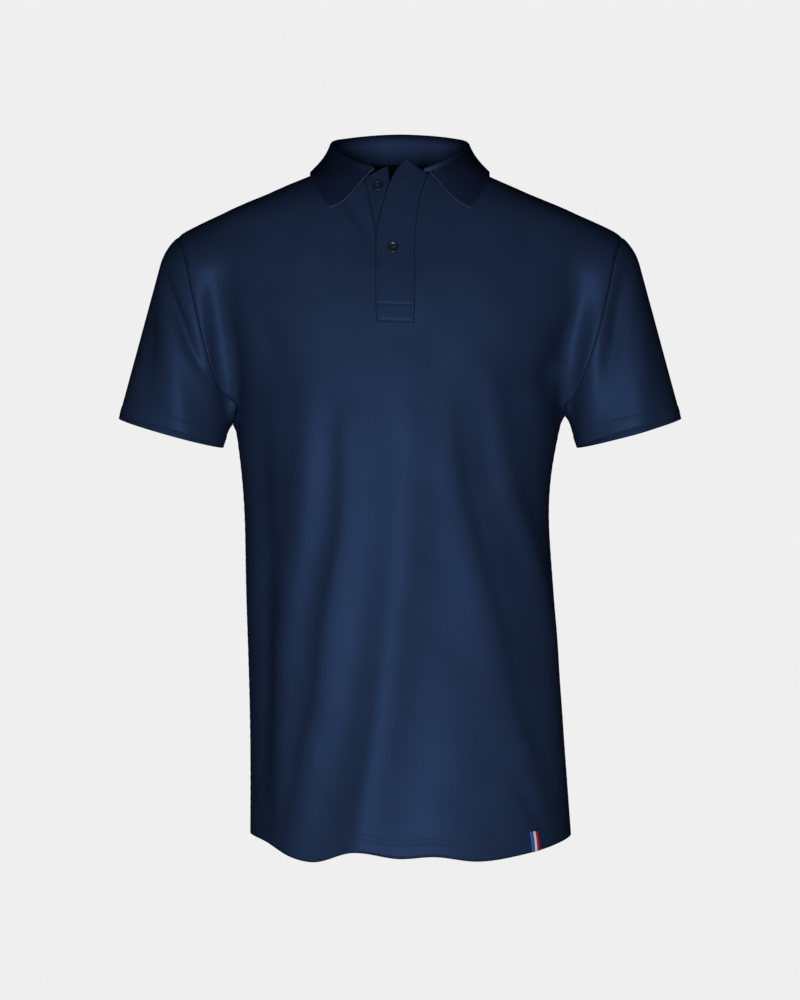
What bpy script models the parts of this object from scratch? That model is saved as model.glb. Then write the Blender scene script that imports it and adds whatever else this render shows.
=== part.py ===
"""Men's polo shirt, size M, standing open in its worn form with nobody in it.

Every cloth piece lies on one rounded form, which is a torso of smooth sections joined to two sleeve
tubes. Seam lines are drawn on that form, each panel is stretched between its seams, its points are
pulled onto the form, and the folds then move them out or in. Metres, +Z up, the front faces -Y,
and the origin is midway between the two neck ends of the shoulder seams, where the wearer holds it.
"""

import math

import bmesh
import bpy
import numpy as np
from mathutils import Vector

# Cloth and seams
JERSEY = 0.0012          # wall of the body and sleeve cloth
PLACKET_CLOTH = 0.0016   # a folded and pressed placket strip
COLLAR_CLOTH = 0.0020    # the thicker knit of the collar
SEAM_GAP = 0.0005        # clear space between two pieces that are sewn together
SEAM_CLEAR = 0.0020      # least distance of a panel's inner points from the plane of the side seams

# Torso sections: how far below the shoulder point, half width, front and back depth, sideways lean
TORSO_COLUMNS = ("drop", "half_width", "front", "back", "lean")
TORSO = np.array([
    (-0.045, 0.058, 0.052, 0.056, 0.000),
    (0.000, 0.068, 0.063, 0.062, 0.000),
    (0.030, 0.134, 0.079, 0.082, 0.000),
    (0.060, 0.199, 0.092, 0.096, 0.000),
    (0.090, 0.215, 0.103, 0.105, 0.000),
    (0.140, 0.207, 0.117, 0.112, 0.000),
    (0.200, 0.191, 0.126, 0.114, 0.000),
    (0.270, 0.174, 0.125, 0.109, -0.002),
    (0.340, 0.163, 0.120, 0.103, -0.004),
    (0.460, 0.163, 0.117, 0.102, 0.000),
    (0.600, 0.166, 0.119, 0.106, 0.007),
    (0.760, 0.172, 0.123, 0.112, 0.013),
])
SECTION_POWER = 2.25     # a section is a little squarer than an ellipse, which has a power of 2

# Sleeve tube of the left arm; the right one mirrors it
ARM_TOP = np.array([0.199, 0.004, -0.123])
CUFF_CENTRE = np.array([0.2435, -0.006, -0.287])
ARM_WIDTH = (0.058, 0.0570)    # half width across, at the arm's top and at the cuff
ARM_DEPTH = (0.070, 0.0540)    # half depth front to back, at the same two places
ARMPIT_BLEND = 0.014           # reach of the rounding between sleeve and torso

# Armhole seam as it shows from the front: place along it, distance from the centre, and drop
ARMHOLE_COLUMNS = ("along", "out", "drop")
ARMHOLE = np.array([
    (0.00, 0.2365, 0.0765),
    (0.15, 0.2265, 0.1020),
    (0.32, 0.2195, 0.1340),
    (0.57, 0.2080, 0.1810),
    (0.80, 0.1930, 0.2270),
    (1.00, 0.1765, 0.2600),
])

# Neckline: how high its seam runs at the front, at the shoulder points and at the back
NECK_FRONT, NECK_SIDE, NECK_BACK = -0.020, -0.002, 0.004

# Opening cut down the front for the placket: drop, and where its two edges lie
SLOT_COLUMNS = ("drop", "right_edge", "left_edge")
SLOT = np.array([
    (0.012, -0.0390, 0.0275),
    (0.033, -0.0345, 0.0205),
    (0.054, -0.0300, 0.0155),
    (0.081, -0.0258, 0.0120),
    (0.115, -0.0225, 0.0108),
    (0.165, -0.0205, 0.0105),
    (0.300, -0.0260, 0.0220),
    (0.740, -0.0300, 0.0380),
])
SLOT_BOTTOM = 0.162

# Placket strips, from the top down: drop and x of the right edge, drop and x of the left edge, then
# how far the strip stands off the cloth at its right edge and at its left edge
STRIP_COLUMNS = ("right_drop", "right_x", "left_drop", "left_x", "right_lift", "left_lift")
TOP_STRIP = np.array([
    (0.0068, 0.0054, 0.0200, 0.0285, 0.0085, 0.0020),
    (0.0220, -0.0061, 0.0340, 0.0242, 0.0070, 0.0020),
    (0.0388, -0.0136, 0.0510, 0.0198, 0.0052, 0.0019),
    (0.0622, -0.0202, 0.0700, 0.0172, 0.0034, 0.0019),
    (0.0855, -0.0246, 0.0920, 0.0154, 0.0022, 0.0019),
    (0.1250, -0.0252, 0.1250, 0.0153, 0.0019, 0.0019),
    (0.1500, -0.0249, 0.1510, 0.0151, 0.0019, 0.0019),
    (0.1755, -0.0244, 0.1770, 0.0146, 0.0019, 0.0019),
])
UNDER_STRIP = np.array([
    (0.0225, -0.0395, 0.0090, -0.0125, -0.0032, -0.0010),
    (0.0360, -0.0360, 0.0300, -0.0100, -0.0030, -0.0014),
    (0.0560, -0.0320, 0.0560, -0.0060, -0.0026, -0.0018),
    (0.0830, -0.0283, 0.0830, -0.0010, -0.0022, -0.0020),
    (0.1150, -0.0250, 0.1150, 0.0030, -0.0020, -0.0020),
    (0.1650, -0.0230, 0.1650, 0.0045, -0.0020, -0.0020),
])
STRIP_ACROSS, STRIP_DOWN = 4, 16

# Collar of the right half, from its front end to the middle of the back, and the same for the left.
# share is the place along the neckline. The fold line and the outer edge are given as x, y, z.
FOLD_LINE = np.array([
    (0.00, -0.0260, -0.0750, -0.0130),
    (0.07, -0.0430, -0.0640, -0.0055),
    (0.14, -0.0590, -0.0410, 0.0050),
    (0.22, -0.0685, -0.0020, 0.0200),
    (0.36, -0.0530, 0.0430, 0.0325),
    (0.50, 0.0000, 0.0600, 0.0385),
    (0.64, 0.0530, 0.0430, 0.0325),
])
OUTER_EDGE = np.array([
    (0.00, -0.0720, -0.0880, -0.0570),
    (0.05, -0.0826, -0.0750, -0.0430),
    (0.10, -0.0890, -0.0580, -0.0290),
    (0.16, -0.0930, -0.0300, -0.0150),
    (0.24, -0.0930, 0.0060, -0.0080),
    (0.36, -0.0720, 0.0600, -0.0080),
    (0.50, 0.0000, 0.0850, -0.0050),
    (0.64, 0.0720, 0.0600, -0.0080),
])
COLLAR_BASE = 0.0018     # from the neckline up to the collar's lower edge
COLLAR_ROLL = 0.0024     # radius of the roll along the fold line
COLLAR_CLEAR = 0.0030    # least height of the collar's middle over the cloth's middle
COLLAR_OVER_PLACKET = 0.0048

# Buttons: across, thick, and where they sit
BUTTON_ACROSS, BUTTON_THICK = 0.0115, 0.0026
UPPER_BUTTON = (-0.0229, 0.0328)     # x and drop, on the under strip
LOWER_BUTTON = (-0.0073, 0.0985)     # x and drop, on the top strip
BUTTON_SEAT = 0.0006     # from the strip's face to the button's flat underside
BUTTON_SIDES = 28

# Tab caught in the front hem
TAB_X, TAB_WIDTH, TAB_LENGTH, TAB_LEAN = 0.1395, 0.0085, 0.0205, 0.0028
TAB_CLOTH = 0.0008
TAB_SEAT = -0.0002       # added to the tab's height: the panel is flatter between its points than the form

# Bottom hem: sideways place and drop, for the front and for the back panel
FRONT_HEM = np.array([
    (-0.175, 0.708), (-0.140, 0.716), (-0.090, 0.731), (-0.048, 0.7195), (0.000, 0.7255),
    (0.034, 0.7235), (0.080, 0.729), (0.130, 0.718), (0.190, 0.708),
])
BACK_HEM = np.array([
    (-0.175, 0.708), (-0.110, 0.722), (-0.040, 0.727), (0.030, 0.724), (0.110, 0.722), (0.190, 0.708),
])

# Folds of the body. A fold runs from (top_x, top) to (end_x, end), bowed sideways in the middle. It
# stands out by height, or sinks in where that is negative. side is -1 for the front and 1 for the back.
FOLD_COLUMNS = ("side", "top_x", "top", "end_x", "end", "bow", "top_width", "end_width", "height")
BODY_FOLDS = np.array([
    (-1, 0.000, 0.190, -0.042, 0.760, 0.016, 0.016, 0.030, 0.0075),
    (-1, -0.066, 0.255, -0.108, 0.780, 0.012, 0.018, 0.024, -0.0085),
    (-1, -0.100, 0.280, -0.140, 0.780, 0.010, 0.022, 0.022, 0.0050),
    (-1, -0.020, 0.450, -0.068, 0.800, 0.004, 0.012, 0.016, -0.0045),
    (-1, 0.060, 0.235, 0.085, 0.560, -0.010, 0.016, 0.018, -0.0045),
    (-1, 0.084, 0.250, 0.128, 0.640, 0.018, 0.020, 0.022, 0.0075),
    (-1, 0.078, 0.330, 0.150, 0.720, -0.016, 0.016, 0.020, -0.0080),
    (-1, 0.030, 0.560, 0.060, 0.800, 0.000, 0.026, 0.034, 0.0040),
    (-1, -0.178, 0.130, -0.140, 0.290, -0.010, 0.020, 0.026, -0.0060),
    (-1, 0.165, 0.175, 0.110, 0.215, 0.004, 0.030, 0.034, -0.0050),
    (1, -0.020, 0.200, -0.060, 0.780, 0.012, 0.020, 0.034, 0.0070),
    (1, 0.050, 0.240, 0.085, 0.780, -0.010, 0.020, 0.028, -0.0080),
    (1, 0.100, 0.200, 0.135, 0.700, 0.012, 0.024, 0.028, 0.0060),
    (1, -0.085, 0.230, -0.120, 0.760, -0.010, 0.020, 0.026, -0.0080),
    (1, 0.010, 0.420, 0.020, 0.800, 0.006, 0.018, 0.024, -0.0045),
])

# Folds of the sleeves, drawn as they show from the front or back
SLEEVE_FOLDS = np.array([
    (-1, -0.232, 0.120, -0.196, 0.255, -0.004, 0.007, 0.010, -0.0060),
    (-1, -0.250, 0.140, -0.225, 0.290, -0.006, 0.012, 0.018, 0.0040),
    (-1, -0.262, 0.150, -0.262, 0.270, 0.002, 0.010, 0.014, -0.0040),
    (-1, 0.242, 0.110, 0.218, 0.235, -0.002, 0.008, 0.012, -0.0060),
    (-1, 0.256, 0.150, 0.236, 0.280, 0.004, 0.013, 0.020, 0.0050),
    (-1, 0.270, 0.170, 0.276, 0.300, 0.002, 0.010, 0.014, -0.0045),
    (1, -0.236, 0.120, -0.205, 0.260, -0.004, 0.010, 0.014, -0.0055),
    (1, 0.240, 0.115, 0.210, 0.250, -0.004, 0.010, 0.014, -0.0060),
    (1, 0.262, 0.150, 0.258, 0.290, 0.002, 0.012, 0.016, 0.0040),
])
SEAM_FADE = 0.030        # folds fade out this far in front of and behind the side seams

# Colour (linear red, green, blue) and roughness of each piece
COLOURS = {
    "front_panel": (0.014, 0.029, 0.068, 0.88),
    "back_panel": (0.014, 0.029, 0.068, 0.88),
    "sleeve_left": (0.014, 0.029, 0.068, 0.88),
    "sleeve_right": (0.014, 0.029, 0.068, 0.88),
    "collar": (0.009, 0.018, 0.042, 0.90),
    "placket_top": (0.014, 0.029, 0.068, 0.88),
    "placket_under": (0.014, 0.029, 0.068, 0.88),
    "button_upper": (0.007, 0.013, 0.026, 0.35),
    "button_lower": (0.007, 0.013, 0.026, 0.35),
    "hem_tab": (0.700, 0.700, 0.700, 0.80),
}

# How finely each piece is divided
SHOULDER_STEPS, NECK_STEPS, SLOT_STEPS = 6, 5, 3
ARMHOLE_STEPS, SLOT_ROWS, SIDE_STEPS = 12, 7, 13
SLEEVE_STEPS = 9
COLLAR_STEPS = 1         # collar columns for each neckline step


def unit(v):
    return v / np.maximum(np.linalg.norm(v, axis=-1, keepdims=True), 1e-12)


def fade(t):
    """Smooth step from 0 to 1 as t goes from 0 to 1."""
    t = np.clip(t, 0.0, 1.0)
    return t * t * (3.0 - 2.0 * t)


def table(rows, column, at):
    """A smooth curve through one column of a table, read against the table's first column."""
    knots, values = rows[:, 0], rows[:, column]
    slopes = np.gradient(values, knots)
    at = np.asarray(at, float)
    i = np.clip(np.searchsorted(knots, at) - 1, 0, len(knots) - 2)
    step = knots[i + 1] - knots[i]
    t = np.clip((at - knots[i]) / step, 0.0, 1.0)
    return ((1 + 2 * t) * (1 - t) ** 2 * values[i] + t * (1 - t) ** 2 * step * slopes[i]
            + t * t * (3 - 2 * t) * values[i + 1] + t * t * (t - 1) * step * slopes[i + 1])


# ---------------------------------------------------------------- the form that the cloth lies on

def torso_level(p):
    """0 on the torso, below 0 inside it: a squarish ellipse at each height."""
    drop = -p[..., 2]
    across = (p[..., 0] - table(TORSO, 4, drop)) / table(TORSO, 1, drop)
    depth = np.where(p[..., 1] < 0, table(TORSO, 2, drop), table(TORSO, 3, drop))
    return ((np.abs(across) ** SECTION_POWER + np.abs(p[..., 1] / depth) ** SECTION_POWER)
            ** (1 / SECTION_POWER) - 1)


def sleeve_level(p):
    """0 on the sleeve tubes, below 0 inside them: an ellipse round the arm's line, rounded on top."""
    q = np.stack([np.abs(p[..., 0]), p[..., 1], p[..., 2]], -1) - ARM_TOP
    line = CUFF_CENTRE - ARM_TOP
    down = q @ unit(line)
    share = np.clip(down / np.linalg.norm(line), 0.0, 1.5)
    sideways = unit(np.cross(line, (0.0, 1.0, 0.0)))
    width = ARM_WIDTH[0] + (ARM_WIDTH[1] - ARM_WIDTH[0]) * share
    depth = ARM_DEPTH[0] + (ARM_DEPTH[1] - ARM_DEPTH[0]) * share
    facing = np.cross(sideways, unit(line))
    return np.sqrt(((q @ sideways) / width) ** 2 + ((q @ facing) / depth) ** 2
                   + (np.minimum(down, 0.0) / width) ** 2) - 1


def slope(level, p):
    """The gradient of a level function, by central differences."""
    step = 1e-5 * np.eye(3)
    return np.stack([(level(p + step[k]) - level(p - step[k])) / 2e-5 for k in range(3)], -1)


def distance(level, p):
    """About how far p is outside that surface, in metres."""
    return level(p) / np.maximum(np.linalg.norm(slope(level, p), axis=-1), 1e-9)


def form(p):
    """Distance outside the whole form: torso and sleeves, with a rounded corner where they meet."""
    a, b = distance(torso_level, p), distance(sleeve_level, p)
    near = np.maximum(ARMPIT_BLEND - np.abs(a - b), 0.0) / ARMPIT_BLEND
    return np.minimum(a, b) - near * near * ARMPIT_BLEND / 4


def form_normal(p):
    return unit(slope(form, p))


def onto_form(p, rounds=10):
    """Pulls points onto the form, along its slope."""
    for _ in range(rounds):
        p = p - form(p)[..., None] * form_normal(p)
    return p


def front_or_back(x, drop, side):
    """The point of the form at that x and drop, on the front (side -1) or the back (side 1)."""
    x, drop = np.broadcast_arrays(np.asarray(x, float), np.asarray(drop, float))
    near, far = np.zeros(x.shape), np.full(x.shape, 0.22)
    for _ in range(40):
        middle = (near + far) / 2
        outside = form(np.stack([x, side * middle, -drop], -1)) > 0
        near, far = np.where(outside, near, middle), np.where(outside, middle, far)
    return np.stack([x, side * near, -drop], -1)


# ---------------------------------------------------------------- folds

def fold_height(folds, p):
    """How far the folds move each point out. A fold is a bell across and fades at its ends."""
    total = np.zeros(p.shape[:-1])
    for side, top_x, top, end_x, end, bow, top_width, end_width, height in folds:
        t = (-p[..., 2] - top) / (end - top)
        line = top_x + (end_x - top_x) * t + bow * np.sin(math.pi * np.clip(t, 0, 1))
        width = top_width + (end_width - top_width) * np.clip(t, 0, 1)
        across = np.exp(-((p[..., 0] - line) / width) ** 2)
        along = fade(t / 0.35) * fade((1 - t) / 0.25)
        total += height * across * along * fade((side * p[..., 1] - 0.005) / SEAM_FADE)
    return total


# ---------------------------------------------------------------- seam lines on the form

def resampled(line, places):
    """The points of a line at these shares of its length."""
    along = np.concatenate([[0.0], np.cumsum(np.linalg.norm(np.diff(line, axis=0), axis=1))])
    at = np.asarray(places) * along[-1]
    return np.stack([np.interp(at, along, line[:, k]) for k in range(3)], -1)


def hem_drop(side, x):
    return table(FRONT_HEM if side < 0 else BACK_HEM, 1, x)


def seam_end(arm, out, drop):
    """An end of the armhole, where it crosses the middle plane between front and back."""
    p = np.array([arm * out, 0.0, -drop])
    for _ in range(12):
        p = onto_form(p, 2)
        p[1] = 0.0
    return p


def armhole(side, arm):
    """The armhole seam from the underarm to the shoulder tip, closing towards the form's ridge at both ends."""
    along = (1 + np.cos(np.linspace(0, math.pi, ARMHOLE_STEPS + 1))) / 2
    line = front_or_back(arm * table(ARMHOLE, 1, along), table(ARMHOLE, 2, along), side)
    line = onto_form(line)
    line[0], line[-1] = seam_end(arm, *ARMHOLE[-1, 1:]), seam_end(arm, *ARMHOLE[0, 1:])
    return line


def side_seam(arm):
    """The side seam from the hem to the underarm, with closer points towards the underarm."""
    underarm = seam_end(arm, *ARMHOLE[-1, 1:])
    low, high = hem_drop(-1, arm * 0.175), -underarm[2]
    drop = low + (high - low) * (1 - (1 - np.linspace(0, 1, SIDE_STEPS + 1)) ** 1.4)
    out = table(TORSO, 1, drop) + arm * table(TORSO, 4, drop)
    line = onto_form(np.stack([arm * out, np.zeros_like(drop), -drop], -1))
    line[-1] = underarm
    return line


def neck_height(p):
    """How high the neckline runs at each side of the neck's middle."""
    turn = np.arctan2(np.abs(p[..., 0]), -p[..., 1])
    front, back = fade(1 - turn / (math.pi / 2)), fade(turn / (math.pi / 2) - 1)
    return NECK_SIDE + (NECK_FRONT - NECK_SIDE) * front + (NECK_BACK - NECK_SIDE) * back


def neckline(turns):
    """Points of the neckline at these turns round the neck, where 0 is the front and pi the back."""
    turns = np.asarray(turns, float)
    ray = np.stack([np.sin(turns), -np.cos(turns), np.zeros_like(turns)], -1)
    height = neck_height(ray)
    near, far = np.zeros(turns.shape), np.full(turns.shape, 0.16)
    for _ in range(40):
        middle = (near + far) / 2
        at = ray * middle[:, None] + np.stack([0 * height, 0 * height, height], -1)
        outside = form(at) > 0
        near, far = np.where(outside, near, middle), np.where(outside, middle, far)
    return ray * near[:, None] + np.stack([0 * height, 0 * height, height], -1)


def column_line(x_of_drop, top_point, side, low_drop):
    """A line down a panel from its top point, following x as a function of drop."""
    drop = np.linspace(-top_point[2], low_drop, 160)
    line = front_or_back(x_of_drop(drop), drop, side)
    line[0] = top_point
    return line


ROWS = SIDE_STEPS + ARMHOLE_STEPS
WAIST_DROP = 0.275       # drop of the row that starts at the underarm, at the panel's middle


def column(x_of_drop, top_point, side, slot=False):
    """A grid column: SIDE_STEPS rows from the hem up to the underarm's row, then the rest up to the top."""
    hem = float(hem_drop(side, x_of_drop(np.array([0.72]))[0]))
    line = column_line(x_of_drop, top_point, side, hem)
    split = np.searchsorted(-line[:, 2], WAIST_DROP)
    lower, upper = line[split:][::-1], line[:split + 1][::-1]
    low = resampled(lower, np.linspace(0, 1, SIDE_STEPS + 1))
    if not slot:
        return np.concatenate([low, resampled(upper, np.linspace(0, 1, ARMHOLE_STEPS + 1))[1:]])
    cut = np.searchsorted(-line[:, 2], SLOT_BOTTOM)
    below, beside = line[cut:split + 1][::-1], line[:cut + 1][::-1]
    below = resampled(below, np.linspace(0, 1, ARMHOLE_STEPS - SLOT_ROWS + 1))[1:]
    return np.concatenate([low, below, resampled(beside, np.linspace(0, 1, SLOT_ROWS + 1))[1:]])


# ---------------------------------------------------------------- panels as grids of points

def patch(left, right, bottom, top):
    """A grid stretched between four edge lines, each grid column running from bottom to top."""
    u = np.linspace(0, 1, len(bottom))[:, None, None]
    v = np.linspace(0, 1, len(left))[None, :, None]
    sides = (1 - u) * left[None] + u * right[None]
    ends = (1 - v) * bottom[:, None] + v * top[:, None]
    corners = ((1 - u) * (1 - v) * left[0] + u * (1 - v) * right[0]
               + (1 - u) * v * left[-1] + u * v * right[-1])
    return sides + ends - corners


def hem_between(a, b, steps, side):
    """Points of the hem from one column's foot to another's."""
    line = a + (b - a) * np.linspace(0, 1, steps + 1)[:, None]
    line = onto_form(line)
    line[1:-1, 2] = -hem_drop(side, line[1:-1, 0])
    return onto_form(line)


def between(a, b, steps):
    return onto_form(a + (b - a) * np.linspace(0, 1, steps + 1)[:, None])


def shoulder_column(arm):
    """Where the column under a shoulder point runs: a little further out lower down."""
    return lambda drop: arm * (0.0665 + 0.022 * fade(drop / 0.45))


def slot_turn(edge):
    """Turn round the neck at which the neckline meets an edge of the front opening."""
    turns = np.linspace(-0.9, 0.9, 181)
    line = neckline(turns)
    gap = line[:, 0] - table(SLOT, edge, -line[:, 2])
    k = int(np.argmax(gap > 0))
    return float(turns[k - 1] - gap[k - 1] * (turns[k] - turns[k - 1]) / (gap[k] - gap[k - 1]))


def body_grid(side):
    """The front (side -1) or back (side 1) panel, from the right side seam to the left one, as a grid."""
    blocks = []
    shoulder = math.pi / 2
    right_edge = np.concatenate([side_seam(-1), armhole(side, -1)[1:]])
    left_edge = np.concatenate([side_seam(1), armhole(side, 1)[1:]])
    right_point, left_point = neckline([-shoulder])[0], neckline([shoulder])[0]
    right_shoulder = column(shoulder_column(-1), right_point, side)
    left_shoulder = column(shoulder_column(1), left_point, side)
    if side < 0:
        turns = np.linspace(-shoulder, slot_turn(1), NECK_STEPS + 1)
        right_neck = neckline(turns)
        turns = np.linspace(slot_turn(2), shoulder, NECK_STEPS + 1)
        left_neck = neckline(turns)
        right_slot = column(lambda drop: table(SLOT, 1, drop), right_neck[-1], side, slot=True)
        left_slot = column(lambda drop: table(SLOT, 2, drop), left_neck[0], side, slot=True)
        lines = [right_edge, right_shoulder, right_slot, left_slot, left_shoulder, left_edge]
        tops = [None, right_neck, None, left_neck, None]
        steps = [SHOULDER_STEPS, NECK_STEPS, SLOT_STEPS, NECK_STEPS, SHOULDER_STEPS]
    else:
        across = 2 * NECK_STEPS + SLOT_STEPS
        back_neck = neckline(np.linspace(-shoulder, -3 * shoulder, across + 1))
        lines = [right_edge, right_shoulder, left_shoulder, left_edge]
        tops = [None, back_neck, None]
        steps = [SHOULDER_STEPS, across, SHOULDER_STEPS]
    for left, right, top, n in zip(lines, lines[1:], tops, steps):
        bottom = hem_between(left[0], right[0], n, side)
        top = between(left[-1], right[-1], n) if top is None else top
        block = patch(left, right, bottom, top)
        inner = onto_form(block[1:-1, 1:-1])
        inner[..., 1] = side * np.maximum(side * inner[..., 1], SEAM_CLEAR)
        block[1:-1, 1:-1] = inner
        blocks.append(block if not blocks else block[1:])
    return np.concatenate(blocks)


def sleeve_grid(arm):
    """A sleeve as rings, from the armhole seam to the cuff. Each ring starts at the shoulder tip."""
    front, back = armhole(-1, arm)[::-1], armhole(1, arm)
    seam = np.concatenate([front, back[1:-1]])
    turn = np.linspace(0, 2 * math.pi, len(seam), endpoint=False)
    line = CUFF_CENTRE - ARM_TOP
    sideways = unit(np.cross(line, (0.0, 1.0, 0.0)))
    sideways = sideways * np.sign(sideways[0])
    facing = unit(np.cross(sideways, unit(line)))
    facing = facing * -np.sign(facing[1])
    cuff = (CUFF_CENTRE + np.cos(turn)[:, None] * sideways * ARM_WIDTH[1]
            + np.sin(turn)[:, None] * facing * ARM_DEPTH[1])
    cuff[:, 0] *= arm
    places = np.linspace(0, 1, SLEEVE_STEPS + 1) ** 1.1
    grid = seam[:, None] + (cuff - seam)[:, None] * places[None, :, None]
    grid[:, 1:] = onto_form(grid[:, 1:])
    return grid


def inset(grid, outward, cyclic=False):
    """Draws a grid's edges in by half a seam's gap, square to the seam, so that sewn pieces stay clear."""
    out = grid.copy()
    if cyclic:
        tangent = np.roll(grid, -1, axis=0) - np.roll(grid, 1, axis=0)
    else:
        tangent = np.gradient(grid, axis=0)
    for edge, inner in ((0, 1), (-1, -2)):
        square = unit(np.cross(outward[:, edge], tangent[:, edge]))
        square *= np.sign(np.sum(square * (grid[:, inner] - grid[:, edge]), -1))[:, None]
        out[:, edge] += SEAM_GAP / 2 * square
    if cyclic:
        return out
    tangent = np.gradient(grid, axis=1)
    for edge, inner in ((0, 1), (-1, -2)):
        square = unit(np.cross(outward[edge], tangent[edge]))
        square *= np.sign(np.sum(square * (grid[inner] - grid[edge]), -1))[:, None]
        out[edge] += SEAM_GAP / 2 * square
    return out


# ---------------------------------------------------------------- Blender objects

def finished(name, mesh, collection):
    """Puts a mesh in the collection as an object of its own material."""
    red, green, blue, roughness = COLOURS[name]
    material = bpy.data.materials.new(name)
    material.use_nodes = True
    shader = material.node_tree.nodes["Principled BSDF"]
    shader.inputs["Base Color"].default_value = (red, green, blue, 1.0)
    shader.inputs["Roughness"].default_value = roughness
    shader.inputs["Metallic"].default_value = 0.0
    mesh.materials.append(material)
    thing = bpy.data.objects.new(name, mesh)
    collection.objects.link(thing)
    return thing


def grid_quads(columns, rows, cyclic=False):
    ids = np.arange(columns * rows).reshape(columns, rows)
    beside = np.roll(ids, -1, axis=0) if cyclic else ids[1:]
    here = ids if cyclic else ids[:-1]
    return np.stack([here[:, :-1], beside[:, :-1], beside[:, 1:], here[:, 1:]], -1)


def walled(name, grid, outward, thickness, collection, cyclic=False, keep=None):
    """A closed sheet: the grid moved out and in by half the wall, joined by a rim along every open edge."""
    quads = grid_quads(*grid.shape[:2], cyclic)
    quads = (quads if keep is None else quads[keep]).reshape(-1, 4)
    points, outward = grid.reshape(-1, 3), outward.reshape(-1, 3)
    a, b, c = points[quads[:, 0]], points[quads[:, 1]], points[quads[:, 3]]
    if np.sum(np.cross(b - a, c - a) * outward[quads[:, 0]]) < 0:
        quads = quads[:, ::-1]
    used, quads = np.unique(quads, return_inverse=True)
    quads = quads.reshape(-1, 4)
    points, outward = points[used], outward[used]
    count = len(points)
    edges = np.concatenate([quads[:, [k, (k + 1) % 4]] for k in range(4)])
    pairs = set(map(tuple, edges.tolist()))
    rim = np.array([edge for edge in edges.tolist() if (edge[1], edge[0]) not in pairs])
    rim = np.stack([rim[:, 1], rim[:, 0], rim[:, 0] + count, rim[:, 1] + count], -1)
    faces = np.concatenate([quads, quads[:, ::-1] + count, rim])
    both = np.concatenate([points + outward * thickness / 2, points - outward * thickness / 2])
    mesh = bpy.data.meshes.new(name)
    mesh.from_pydata(both.tolist(), [], faces.tolist())
    mesh.validate()
    mesh.shade_smooth()
    return finished(name, mesh, collection)


def on_body(base):
    """Folds a grid of form points, and gives the directions its wall stands in."""
    outward = form_normal(base)
    height = fold_height(BODY_FOLDS, base) + fold_height(SLEEVE_FOLDS, base)
    return base + height[..., None] * outward, outward


def lifted(p, clearance):
    """Moves points out until they are at least this far over the folded cloth."""
    for _ in range(4):
        height = fold_height(BODY_FOLDS, p)
        p = p + np.maximum(clearance + height - form(p), 0.0)[..., None] * form_normal(p)
    return p


def grid_normals(grid):
    along = np.gradient(grid, axis=0)
    down = np.gradient(grid, axis=1)
    return unit(np.cross(along, down))


def collar_grid():
    """The folded collar, from its right front end round the back to its left front end.

    Each column rises from the neckline to the fold line, rolls over, and falls to the outer edge.
    """
    shoulder = math.pi / 2
    turns = [np.linspace(slot_turn(1), -shoulder, NECK_STEPS + 1),
             np.linspace(-shoulder, -3 * shoulder, 2 * NECK_STEPS + SLOT_STEPS + 1)[1:],
             np.linspace(shoulder, slot_turn(2), NECK_STEPS + 1)[1:]]
    seam = neckline(np.concatenate(turns))
    count = (len(seam) - 1) * COLLAR_STEPS + 1
    seam = np.stack([np.interp(np.linspace(0, len(seam) - 1, count), np.arange(len(seam)), seam[:, k])
                     for k in range(3)], -1)
    lengths = np.linalg.norm(np.diff(seam, axis=0), axis=1)
    share = np.concatenate([[0.0], np.cumsum(lengths)]) / lengths.sum()
    half, mirror = np.minimum(share, 1 - share), np.where(share > 0.5, -1.0, 1.0)
    fold = np.stack([table(FOLD_LINE, k, half) for k in (1, 2, 3)], -1)
    edge = np.stack([table(OUTER_EDGE, k, half) for k in (1, 2, 3)], -1)
    fold[:, 0] *= mirror
    edge[:, 0] *= mirror

    outward = form_normal(seam)
    upward = unit(np.cross(np.gradient(seam, axis=0), outward))
    upward *= np.sign(upward[:, 2:3])
    start = seam + COLLAR_BASE * upward
    stand = unit(start - fold)
    fall = unit(edge - fold)
    across = unit(fall - np.sum(fall * stand, -1, keepdims=True) * stand)
    roll = COLLAR_ROLL
    inner = fold + roll * stand
    outer = inner + 2 * roll * across
    rows = [start, start + 0.25 * (inner - start) + 0.0012 * upward, start + 0.62 * (inner - start), inner,
            fold + 0.3 * roll * stand + 0.3 * roll * across, fold + roll * across,
            fold + 0.3 * roll * stand + 1.7 * roll * across, outer]
    out = unit(edge - seam)
    for t in (0.2, 0.4, 0.6, 0.8, 1.0):
        bulge = 0.004 * math.sin(math.pi * t)
        rows.append(outer + t * (edge - outer) + bulge * unit(across + out))
    grid = np.stack(rows, 1)
    close = COLLAR_CLEAR + (COLLAR_OVER_PLACKET - COLLAR_CLEAR) * np.exp(-((grid[..., 0] - 0.022) / 0.018) ** 4)
    close = np.where(grid[..., 1] > -0.02, COLLAR_CLEAR, close)
    grid[:, 7:] = lifted(grid[:, 7:], close[:, 7:])
    return grid


def strip_grid(rows, down, across):
    """A placket strip as a grid from its right edge to its left edge, and its outward directions."""
    t = np.linspace(0, 1, down)
    k = np.linspace(0, 1, len(rows))
    table_rows = np.concatenate([k[:, None], rows], 1)
    right_drop, right_x, left_drop, left_x, right_lift, left_lift = (
        table(table_rows, c, t) for c in range(1, 7))
    grids = []
    for u in np.linspace(0, 1, across):
        x, drop = right_x + u * (left_x - right_x), right_drop + u * (left_drop - right_drop)
        base = front_or_back(x, drop, -1)
        lift = left_lift + (right_lift - left_lift) * (1 - u) ** 1.6
        grids.append((base, lift))
    base = np.stack([g[0] for g in grids])
    lift = np.stack([g[1] for g in grids])
    outward = form_normal(base)
    height = fold_height(BODY_FOLDS, base) + lift
    return base + height[..., None] * outward, outward


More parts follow.
